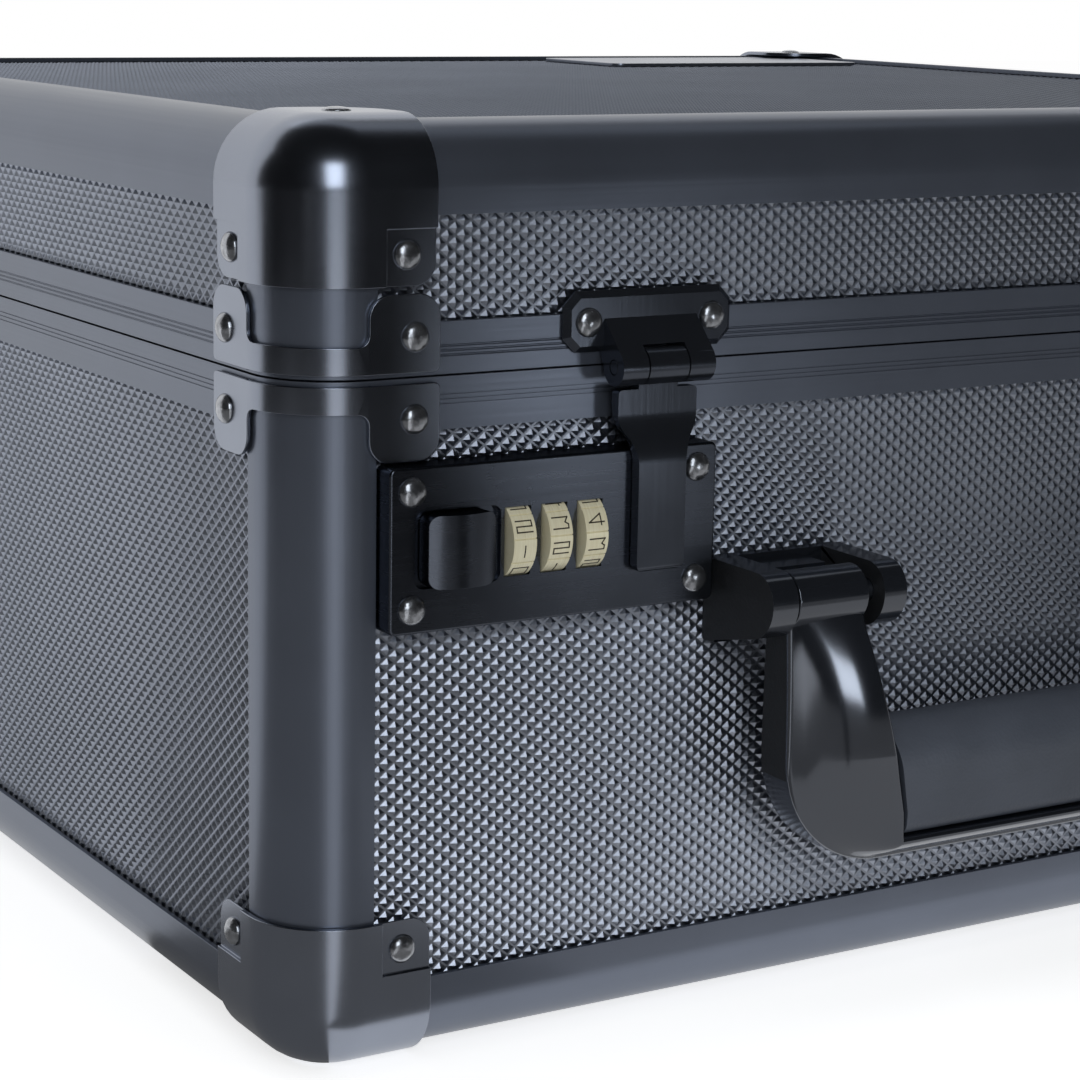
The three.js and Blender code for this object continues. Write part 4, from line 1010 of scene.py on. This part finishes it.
def add_numbers(name):
    """The ten numbers of a dial that turns about X, as thin strokes round its rim."""
    marks = []
    for number, corners in enumerate(number_strokes):
        spots = [Vector(((u - 0.5) * number_wide, (v - 0.5) * number_tall, 0)) for u, v in corners]
        for start, end in zip(spots, spots[1:]):
            along = end - start
            half = along.length / 2 + stroke / 2
            mark = add_block("mark", (-half, -stroke / 2, -0.1 * mm), (half, stroke / 2, 0.02 * mm))
            edit(mark)
            bpy.ops.mesh.select_all(action="SELECT")
            bpy.ops.mesh.subdivide(number_cuts=3)
            leave()
            turn = Matrix.Rotation(math.atan2(along.y, along.x), 4, "Z")
            stand(mark, turn, (start + end) / 2)
            for vertex in mark.data.vertices:
                angle = vertex.co.y / dial_radius + number * number_step
                rim = dial_radius + vertex.co.z
                vertex.co = (vertex.co.x, -rim * math.cos(angle), rim * math.sin(angle))
            marks.append(mark)
    return join(name, marks)


number_ring = add_numbers("number_ring")
resting_turn = math.radians(-11.5)
shown_numbers = {"left": (1, 2, 3), "right": (4, 0, 7)}
for side, sign in (("left", 1), ("right", -1)):
    for index, start in enumerate(dial_starts):
        body = f"dial_{side}_{index + 1}"
        ends = sorted((sign * start, sign * (start + dial_width)))
        wheel = add_rod(body + "_shown", dial_radius, *ends, dial_y, dial_z, 80)
        combine(wheel, add_rod("bore", 1.8 * mm, ends[0] - beyond, ends[1] + beyond, dial_y, dial_z, 32))
        for cut in range(number_count):
            groove = add_block("groove", (ends[0] - beyond, -0.09 * mm, dial_radius - 0.22 * mm),
                               (ends[1] + beyond, 0.09 * mm, dial_radius + beyond))
            angle = (cut + 0.5) * number_step + math.pi / 2 - resting_turn
            stand(groove, Matrix.Rotation(angle, 4, "X"), (0, dial_y, dial_z))
            combine(wheel, groove)
        soften(wheel, 0.12 * mm, 2, 50)
        settle(wheel, body, "dial_brass", dial_paint, body)
        numbers = turned_over(number_ring, body + "_numbers")
        spin = shown_numbers[side][index] * number_step - resting_turn
        stand(numbers, Matrix.Rotation(spin, 4, "X"), (sum(ends) / 2, dial_y, dial_z))
        settle(numbers, body, "dial_brass", ink_paint)
bpy.data.objects.remove(number_ring)

# The hasps are cranked straps of polished black metal. A rolled knuckle at the top turns on
# the strike's pin, and a keeper behind the foot goes into the lock plate.
knuckle_radius = 3.3 * mm
knuckle_y, knuckle_z = front - 4.9 * mm, seam + 0.15 * mm
knuckle_wide = 8 * mm
pin_radius, pin_bore = 1.3 * mm, 1.4 * mm
keeper_back = plate_face + 3.3 * mm
head_half, tail_half = 8.1 * mm, 4.9 * mm
strap_thick = 2.2 * mm
head_back, tail_back = front - 2.3 * mm, plate_face - gap
head_top, head_foot, shoulder = seam - 4 * mm, seam - 10.4 * mm, seam - 12.4 * mm

gloss_paint, gloss_shader, gloss_place = finish(
    "polished_black_metal", grey(0.14, 1.35), 0.2, 0.9, Specular_Tint=grey(0.5))
gloss_cloud = noise(gloss_place, 80, detail=4)
gloss_brush = noise(gloss_place, 120, (9, 1, 0.5), 3)
dress(gloss_shader, gloss_cloud.between(grey(0.07, 1.35), grey(0.1, 1.35)),
      0.14 + 0.12 * gloss_cloud, bump(gloss_brush, 0.01 * mm))

hasp = add_outline("hasp_left_shown", [
    (knuckle_y, knuckle_z), (head_back - strap_thick, knuckle_z - knuckle_radius),
    (head_back - strap_thick, head_foot, 2.4 * mm),
    (tail_back - strap_thick, shoulder - strap_thick, 2.4 * mm),
    (tail_back - strap_thick, hasp_foot, 1.1 * mm), (tail_back, hasp_foot),
    (tail_back, shoulder, 1.5 * mm), (head_back, head_foot + strap_thick, 1.5 * mm),
    (head_back, head_top), (knuckle_y + knuckle_radius, knuckle_z),
], "x", hasp_x - head_half, hasp_x + head_half)
combine(hasp, add_outline("face", [
    (hasp_x - knuckle_wide / 2, knuckle_z + knuckle_radius), (hasp_x - knuckle_wide / 2, head_top),
    (hasp_x - head_half, head_top, 0.8 * mm), (hasp_x - head_half, head_foot, 1.8 * mm),
    (hasp_x - tail_half, shoulder - 1.5 * mm, 3 * mm), (hasp_x - tail_half, hasp_foot, 1.5 * mm),
    (hasp_x + tail_half, hasp_foot, 1.5 * mm), (hasp_x + tail_half, shoulder - 1.5 * mm, 3 * mm),
    (hasp_x + head_half, head_foot, 1.8 * mm), (hasp_x + head_half, head_top, 0.8 * mm),
    (hasp_x + knuckle_wide / 2, head_top), (hasp_x + knuckle_wide / 2, knuckle_z + knuckle_radius),
], "y", plate_face - 2 * beyond, front + beyond), "INTERSECT")
combine(hasp, add_rod("knuckle", knuckle_radius, hasp_x - knuckle_wide / 2, hasp_x + knuckle_wide / 2,
                      knuckle_y, knuckle_z), "UNION")
combine(hasp, solid_between("keeper", (hasp_x - keeper_wide / 2, hasp_x + keeper_wide / 2),
                            (tail_back - gap, keeper_back),
                            (keeper_foot, keeper_foot + keeper_tall)), "UNION")
combine(hasp, add_rod("bore", pin_bore, hasp_x - beyond, hasp_x + beyond, knuckle_y, knuckle_z, 32))
soften(hasp, 0.35 * mm, 3, 40)
settle_pair(hasp, "hasp", "hasp_", "black_lock_metal", gloss_paint)

# The strikes are cast plates with wide bevelled borders, riveted over the lid's rim. A hood
# runs down to two knuckles that hold the hasp's pin. The right strike, its pin and the right
# handle bracket are copied from settled pieces.
strike_back = front - gap
strike_face = strike_back - 1.4 * mm
strike_foot, strike_tall, strike_half = seam + 2.4 * mm, 10.6 * mm, 17.3 * mm
strike_top = strike_foot + strike_tall
chamfer, border = 2.5 * mm, 1.15 * mm
strike = add_outline("strike_left_shown", [
    (hasp_x - strike_half, strike_foot + chamfer), (hasp_x - strike_half + chamfer, strike_foot),
    (hasp_x + strike_half - chamfer, strike_foot), (hasp_x + strike_half, strike_foot + chamfer),
    (hasp_x + strike_half, strike_top - chamfer), (hasp_x + strike_half - chamfer, strike_top),
    (hasp_x - strike_half + chamfer, strike_top), (hasp_x - strike_half, strike_top - chamfer),
], "y", strike_face, strike_back)
round_edges(strike, lambda edge: lies(edge, y=strike_face), border, 1)
knuckle_clear, ear_wide = 0.3 * mm, 5.2 * mm
window_half = knuckle_wide / 2 + knuckle_clear
ear_half = window_half + ear_wide
window_top = knuckle_z + 3.8 * mm
hood_top = strike_foot + 0.55 * strike_tall
slant = knuckle_radius * math.sqrt(0.5)
combine(strike, add_outline("hood", [
    (strike_back, strike_foot), (strike_back, hood_top), (strike_face, hood_top),
    (knuckle_y - slant, knuckle_z + slant), (knuckle_y, knuckle_z), (knuckle_y + knuckle_radius, knuckle_z),
], "x", hasp_x - ear_half, hasp_x + ear_half), "UNION")
combine(strike, add_rod("ears", knuckle_radius, hasp_x - ear_half, hasp_x + ear_half,
                        knuckle_y, knuckle_z), "UNION")
combine(strike, solid_between(
    "window", (hasp_x - window_half, hasp_x + window_half), (knuckle_y - 2 * beyond, strike_back + beyond),
    (knuckle_z - 2 * beyond, window_top)))
combine(strike, add_rod("bore", pin_bore, hasp_x - 2 * strike_half, hasp_x + 2 * strike_half,
                        knuckle_y, knuckle_z, 32))
soften(strike, 0.16 * mm, 2, 20)
pin = add_rod("strike_pin_left_shown", pin_radius, hasp_x - ear_half, hasp_x + ear_half,
              knuckle_y, knuckle_z, 32)
soften(pin, 0.25 * mm, 3)
for side in ("left", "right"):
    for piece, node in ((strike, "strike_"), (pin, "strike_pin_")):
        if side == "right":
            piece = turned_over(piece, node + "right_shown", x=0)
        settle(piece, "lid", "black_lock_metal", gloss_paint, node + side)
strike_rivet = strike_half - 4.6 * mm
rivet_set("strike_rivets", "lid", "black_lock_metal", [
    ((sign * (hasp_x + offset), strike_face, strike_foot + strike_tall / 2), (0, -1, 0))
    for sign in (1, -1) for offset in (-strike_rivet, strike_rivet)
])

# The handle brackets are moulded black plastic: two ears on a back plate, with a bridge over
# the handle's barrel. Their rims are polished and their cheeks are left finely sparked.
bracket_low, bracket_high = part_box("handle_bracket_left")
bracket_outer, bracket_inner = bracket_low.x, bracket_high.x
bracket_foot, bracket_top = bracket_low.z, bracket_high.z
pivot_y, pivot_z, ear_radius = front - 15.2 * mm, seam - 41.6 * mm, 5.4 * mm
outer_ear, inner_ear = 5.5 * mm, 5 * mm
handle_pin_radius, pin_depth = 2 * mm, 3.6 * mm
back_inset, back_wall = 1 * mm, 2.4 * mm
bridge_end, bridge_front = bracket_inner - inner_ear - 5 * mm, front - 9.3 * mm
bridge_foot, bridge_top = bracket_top - 3.6 * mm, bracket_top - 1 * mm

moulding_paint, moulding_shader, moulding_place = finish(
    "polished_moulding", grey(0.007, 1.5), 0.09,
    Specular_Tint=grey(0.85, 1.2), Specular_IOR_Level=1, IOR=1.7)
moulding_haze = noise(moulding_place, 60, detail=4)
moulding_wave = noise(moulding_place, 240, detail=2)
dress(moulding_shader, moulding_haze.between(grey(0.006, 1.5), grey(0.011, 1.5)),
      0.08 + 0.11 * moulding_haze, bump(moulding_wave, 0.006 * mm))
cheek_paint, cheek_shader, cheek_place = finish("sparked_moulding", grey(0.012, 1.3), 0.5)
cheek_spark = noise(cheek_place, 1700, detail=4)
cheek_patch = noise(cheek_place, 420)
dress(cheek_shader, cheek_patch.between(grey(0.008, 1.2), grey(0.02, 1.2)),
      0.38 + 0.25 * cheek_patch, bump(cheek_spark, 0.06 * mm))


def spark_cheeks(piece, limit=0.97):
    """Gives the flat sides that face along X the sparked finish."""
    piece.data.materials.clear()
    piece.data.materials.append(moulding_paint)
    piece.data.materials.append(cheek_paint)
    for face in piece.data.polygons:
        face.material_index = 1 if abs(face.normal.x) > limit else 0


def add_ear(name, start, end):
    return add_outline(name, [
        (plate_back, bracket_foot, 1 * mm), (plate_back, bracket_top, 1 * mm),
        (pivot_y - ear_radius, pivot_z + ear_radius, 5.3 * mm),
        (pivot_y - ear_radius, pivot_z - ear_radius, 5.3 * mm),
    ], "x", start, end, 14)


bracket = add_ear("handle_bracket_left_shown", bracket_outer, bracket_outer + outer_ear)
combine(bracket, add_ear("ear", bracket_inner - inner_ear, bracket_inner), "UNION")
combine(bracket, solid_between("back", (bracket_outer + back_inset, bracket_inner - back_inset),
                               (plate_back - back_wall, plate_back), (bracket_foot, bracket_top)), "UNION")
combine(bracket, solid_between("bridge", (bracket_outer + back_inset, bridge_end),
                               (bridge_front, plate_back), (bridge_foot, bridge_top)), "UNION")
combine(bracket, add_rod("bore", handle_pin_radius + 0.1 * mm, bracket_outer + outer_ear - pin_depth,
                         bracket_inner - inner_ear + pin_depth, pivot_y, pivot_z, 32))
soften(bracket, 0.22 * mm, 3, 40)
for side in ("left", "right"):
    piece = bracket if side == "left" else turned_over(bracket, "handle_bracket_right_shown", x=0)
    spark_cheeks(piece)
    settle(piece, "base", "gloss_black_plastic", None, "handle_bracket_" + side)

# The handle frame is one polished black moulding. Each arm swells downwards and forwards from
# its barrel and turns into the bar that runs under the grip.
arm_outer = -(bracket_outer + outer_ear + gap)
barrel_wide, barrel_radius = 15.4 * mm, 5.2 * mm
corner_radius = 21.5 * mm
bar_foot = pivot_z - 50.2 * mm
bar_top = bar_foot + 5.2 * mm
bend_z, bend_x = pivot_z - 27.6 * mm, arm_outer - 20.4 * mm
foot_z, foot_x = pivot_z - 40.2 * mm, arm_outer - 22.9 * mm
corner_x, corner_z = arm_outer - corner_radius, bar_foot + corner_radius
arm_back = front - 9.6 * mm


def inner_edge(height):
    """How far from the middle the arm's inner side is at a height."""
    barrel_end = arm_outer - barrel_wide
    top_z = pivot_z - barrel_radius
    if height > top_z:
        return barrel_end
    if height > bend_z:
        return bend_x + (barrel_end - bend_x) * (height - bend_z) / (top_z - bend_z)
    return foot_x + (bend_x - foot_x) * max(height - foot_z, 0) / (bend_z - foot_z)


def arm_section(outer, inner, rear, outer_face, inner_face, swell):
    """Points round one section of the handle, from (x, z) on its outside to (x, z) on its inside."""
    outer, inner = Vector(outer), Vector(inner)
    across = inner - outer
    wide = across.length
    points = []

    def add(share, y):
        spot = outer + across * share
        points.append(Vector((spot.x, y, spot.y)))

    small, round_steps, face_steps = 0.9 * mm, 4, 10
    for share, y in ((small / wide, rear), (0, rear - small)):
        add(share, y)
    for step in range(round_steps + 1):
        angle = math.pi / 2 * step / round_steps
        add(small * (1 - math.cos(angle)) / wide, outer_face + small * (1 - math.sin(angle)))
    for step in range(1, face_steps):
        across_share = step / face_steps
        chord = outer_face + (inner_face - outer_face) * across_share
        add(small / wide + (1 - 2 * small / wide) * across_share,
            chord - swell * 4 * across_share * (1 - across_share))
    for step in range(round_steps + 1):
        angle = math.pi / 2 * (1 - step / round_steps)
        add(1 - small * (1 - math.cos(angle)) / wide, inner_face + small * (1 - math.sin(angle)))
    for share, y in ((1, rear - small), (1 - small / wide, rear)):
        add(share, y)
    return points


arm_steps, turn_steps, bar_steps = 18, 16, 8
top_swell, arm_swell, bar_swell = 0.4 * mm, 1.7 * mm, 0.8 * mm
outer_top, inner_top, outer_rise, inner_rise = front - 17.2 * mm, front - 18.2 * mm, 1.6 * mm, 6 * mm
sections = []
for step in range(arm_steps + 1):
    height = pivot_z - (pivot_z - corner_z) * step / arm_steps
    rise = 1 - (1 - 0.9 * step / arm_steps) ** 2
    rear = pivot_y + barrel_radius - gap + (arm_back - pivot_y - barrel_radius + gap) * rise
    sections.append(arm_section(
        (-arm_outer, height), (-inner_edge(height), height), rear,
        outer_top - outer_rise * rise, inner_top - inner_rise * rise,
        top_swell + (arm_swell - top_swell) * rise))
for step in range(1, turn_steps + 1):
    share = step / turn_steps
    angle = math.pi + math.pi / 2 * share
    inner_z = corner_z - (corner_z - bar_top) * share * share * (3 - 2 * share)
    sections.append(arm_section(
        (-corner_x + corner_radius * math.cos(angle), corner_z + corner_radius * math.sin(angle)),
        (-inner_edge(inner_z), inner_z), arm_back,
        outer_top - outer_rise, inner_top - inner_rise, arm_swell - (arm_swell - bar_swell) * share))
for step in range(1, bar_steps + 1):
    share = 1 - step / bar_steps
    sections.append(arm_section(
        (-corner_x * share, bar_foot), (-foot_x * share, bar_top), arm_back,
        outer_top - outer_rise, inner_top - inner_rise, bar_swell))


def add_loft(name, rings):
    """Starts with a filled ring and draws it out from section to section."""
    bpy.ops.object.select_all(action="DESELECT")
    bpy.ops.mesh.primitive_circle_add(vertices=len(rings[0]), radius=1, fill_type="NGON", location=(0, 0, 0))
    piece = bpy.context.object
    piece.name = piece.data.name = name
    bpy.ops.object.mode_set(mode="EDIT")
    mesh = bmesh.from_edit_mesh(piece.data)
    mesh.verts.ensure_lookup_table()
    order = list(mesh.verts)
    for vertex, place in zip(order, rings[0]):
        vertex.co = place
    for ring in rings[1:]:
        end = [part for face in mesh.faces if face.select for part in (face, *face.edges, *face.verts)]
        grown = bmesh.ops.extrude_face_region(mesh, geom=end)
        fresh = {tuple(v.co): v for v in grown["geom"] if isinstance(v, bmesh.types.BMVert)}
        order = [fresh[tuple(vertex.co)] for vertex in order]
        for vertex, place in zip(order, ring):
            vertex.co = place
        for face in mesh.faces:
            face.select_set(all(vertex in order for vertex in face.verts))
    bmesh.update_edit_mesh(piece.data)
    bpy.ops.mesh.select_all(action="SELECT")
    bpy.ops.mesh.normals_make_consistent(inside=False)
    leave()
    return piece


half_handle = add_loft("handle_frame_shown", sections)
edit(half_handle)
pick("FACE", lambda face: lies(face, x=0))
bpy.ops.mesh.delete(type="ONLY_FACE")
leave()
other_half = turned_over(half_handle, "other_half", x=0)
handle = join("handle_frame_shown", [half_handle, other_half])
edit(handle)
bpy.ops.mesh.select_all(action="SELECT")
bpy.ops.mesh.remove_doubles(threshold=0.002 * mm)
bpy.ops.mesh.normals_make_consistent(inside=False)
leave()
grip_low, grip_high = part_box("handle_grip")
grip_front, grip_back = grip_low.y, grip_high.y
grip_foot, grip_top = grip_low.z, grip_high.z
stub_radius = 3.6 * mm
stub_y, stub_z = (grip_front + grip_back) / 2, (grip_foot + grip_top) / 2
for sign in (1, -1):
    ends = sorted((-sign * (arm_outer - gap), -sign * (arm_outer - barrel_wide)))
    barrel = add_rod("barrel", barrel_radius, *ends, pivot_y, pivot_z, 56)
    soften(barrel, 0.3 * mm)
    combine(handle, barrel, "UNION")
    pin_ends = sorted((-sign * (arm_outer + pin_depth), sign * (bracket_inner - inner_ear + pin_depth)))
    combine(handle, add_rod("pin", handle_pin_radius, *pin_ends, pivot_y, pivot_z, 32), "UNION")
    socket_ends = sorted((sign * (foot_x - beyond), sign * (grip_high.x + gap)))
    combine(handle, add_rod("socket", stub_radius + gap, *socket_ends, stub_y, stub_z, 32))
spark_cheeks(handle, 0.985)
settle(handle, "handle", "gloss_black_plastic", None, "handle_frame", smooth=50)

# The grip is a soft black moulding with a fine leather-like grain. It lies between the arms,
# on the bar, and a stub at each end holds it to them.
grip_paint, grip_shader, grip_place = finish("soft_grip", grey(0.04, 1.4), 0.5)
grip_grain = grip_place.node("TexVoronoi", None, {"Vector": grip_place, "Scale": 1500.0})
grip_scuff = noise(grip_place, 130, (0.6, 1, 1), 5)
dress(grip_shader, grip_scuff.between(grey(0.05, 1.45), grey(0.08, 1.45)),
      0.36 + 0.2 * grip_scuff, bump(grip_grain + 0.5 * grip_scuff, 0.05 * mm))
grip = add_outline("handle_grip_shown", [
    (grip_front + 0.5 * mm, grip_foot, 2.6 * mm), (grip_front, (grip_foot + grip_top) / 2, 30 * mm),
    (grip_front + 1.2 * mm, grip_top, 7.5 * mm), (grip_back, grip_top, 6 * mm),
    (grip_back, grip_foot, 4 * mm),
], "x", -bend_x, bend_x, 10)
combine(grip, add_outline("between_arms", [
    (-foot_x + gap, grip_foot - beyond), (-foot_x + gap, foot_z),
    (-bend_x + gap, bend_z, 12 * mm), (-bend_x + gap, grip_top + beyond),
    (bend_x - gap, grip_top + beyond), (bend_x - gap, bend_z, 12 * mm),
    (foot_x - gap, foot_z), (foot_x - gap, grip_foot - beyond),
], "y", front - 5 * beyond, front, 8), "INTERSECT")
combine(grip, add_rod("stubs", stub_radius, grip_low.x, grip_high.x, stub_y, stub_z, 32), "UNION")
soften(grip, 0.35 * mm, 3, 40)
settle(grip, "handle", "soft_touch_grip", grip_paint, "handle_grip")

# The hinges are pressed steel butt hinges, coated black, riveted over the rims at the back.
# Three knuckles turn on a steel pin.
leaf_wall, leaf_tall, leaf_wide = 1.4 * mm, 22 * mm, 38 * mm
hinge_knuckle, hinge_pin_radius = 3 * mm, 1.5 * mm
hinge_y = back + 4.2 * mm
leaf_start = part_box("hinge_base_leaf_left")[0].x
leaf_end = leaf_start + leaf_wide
leaf_back = back + gap
knuckle_cuts = (leaf_start + 12.5 * mm, leaf_start + 25.5 * mm)
clear, leaf_rivet = 0.3 * mm, 6 * mm
spans = {
    "base": ((leaf_start, knuckle_cuts[0]), (knuckle_cuts[1], leaf_end)),
    "lid": (knuckle_cuts,),
}
for body, way in (("base", -1), ("lid", 1)):
    near_z, far_z = seam + way * clear, seam + way * (clear + leaf_tall)
    leaf = solid_between(f"hinge_{body}_leaf_left_shown", (leaf_start, leaf_end),
                         (leaf_back, leaf_back + leaf_wall), sorted((near_z, far_z)))
    round_edges(leaf, lambda edge: runs(edge, "y") and lies(edge, z=far_z), 3 * mm, 6)
    for start, end in spans[body]:
        combine(leaf, add_rod("knuckle", hinge_knuckle, start, end, hinge_y, seam, 40), "UNION")
    for start, end in spans["lid" if body == "base" else "base"]:
        combine(leaf, solid_between("way", (start - clear, end + clear),
                                    (leaf_back - beyond, hinge_y + 2 * beyond),
                                    (seam - hinge_knuckle - clear, seam + hinge_knuckle + clear)))
    combine(leaf, add_rod("bore", hinge_pin_radius + 0.1 * mm, leaf_start - beyond, leaf_end + beyond,
                          hinge_y, seam, 32))
    soften(leaf, 0.22 * mm, 2, 40)
    settle_pair(leaf, f"hinge_{body}_leaf", body, "black_lock_metal", cap_paint)
    rivet_z = (near_z + far_z) / 2 + (far_z - near_z) / 6
    rivet_set(f"hinge_rivets_{body}", body, "black_lock_metal", [
        ((sign * x, leaf_back + leaf_wall, rivet_z), (0, 1, 0))
        for sign in (1, -1) for x in (leaf_start + leaf_rivet, leaf_end - leaf_rivet)
    ])
hinge_pin = add_rod("hinge_pin_left_shown", hinge_pin_radius, leaf_start, leaf_end, hinge_y, seam, 32)
soften(hinge_pin, 0.3 * mm, 3)
settle_pair(hinge_pin, "hinge_pin", "base", "black_lock_metal", rivet_paint)

# The name plate is a bare brushed aluminium tag, glued near the lid's rear corner. It is
# left blank.
tag_low, tag_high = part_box("name_plate")
tag_border, tag_sink = 1.6 * mm, 0.15 * mm
tag_paint, tag_shader, tag_place = finish("bare_brushed_plate", grey(0.5, 1.05), 0.3, 0.9)
tag_brush = noise(tag_place, 260, (0.25, 12, 1), 5)
tag_cloud = noise(tag_place, 50)
dress(tag_shader, tag_cloud.between(grey(0.22, 1.3), grey(0.28, 1.3)),
      0.22 + 0.2 * tag_brush, bump(tag_brush, 0.015 * mm))
tag = add_block("name_plate_shown", tag_low, tag_high)
round_edges(tag, lambda edge: runs(edge, "z"), 3 * mm, 8)
edit(tag)
pick("FACE", lambda face: lies(face, z=tag_high.z))
bpy.ops.mesh.inset(thickness=tag_border)
bpy.ops.transform.translate(value=(0, 0, -tag_sink))
leave()
soften(tag, 0.1 * mm, 2, 15)
settle(tag, "lid", "bare_name_plate", tag_paint, "name_plate")
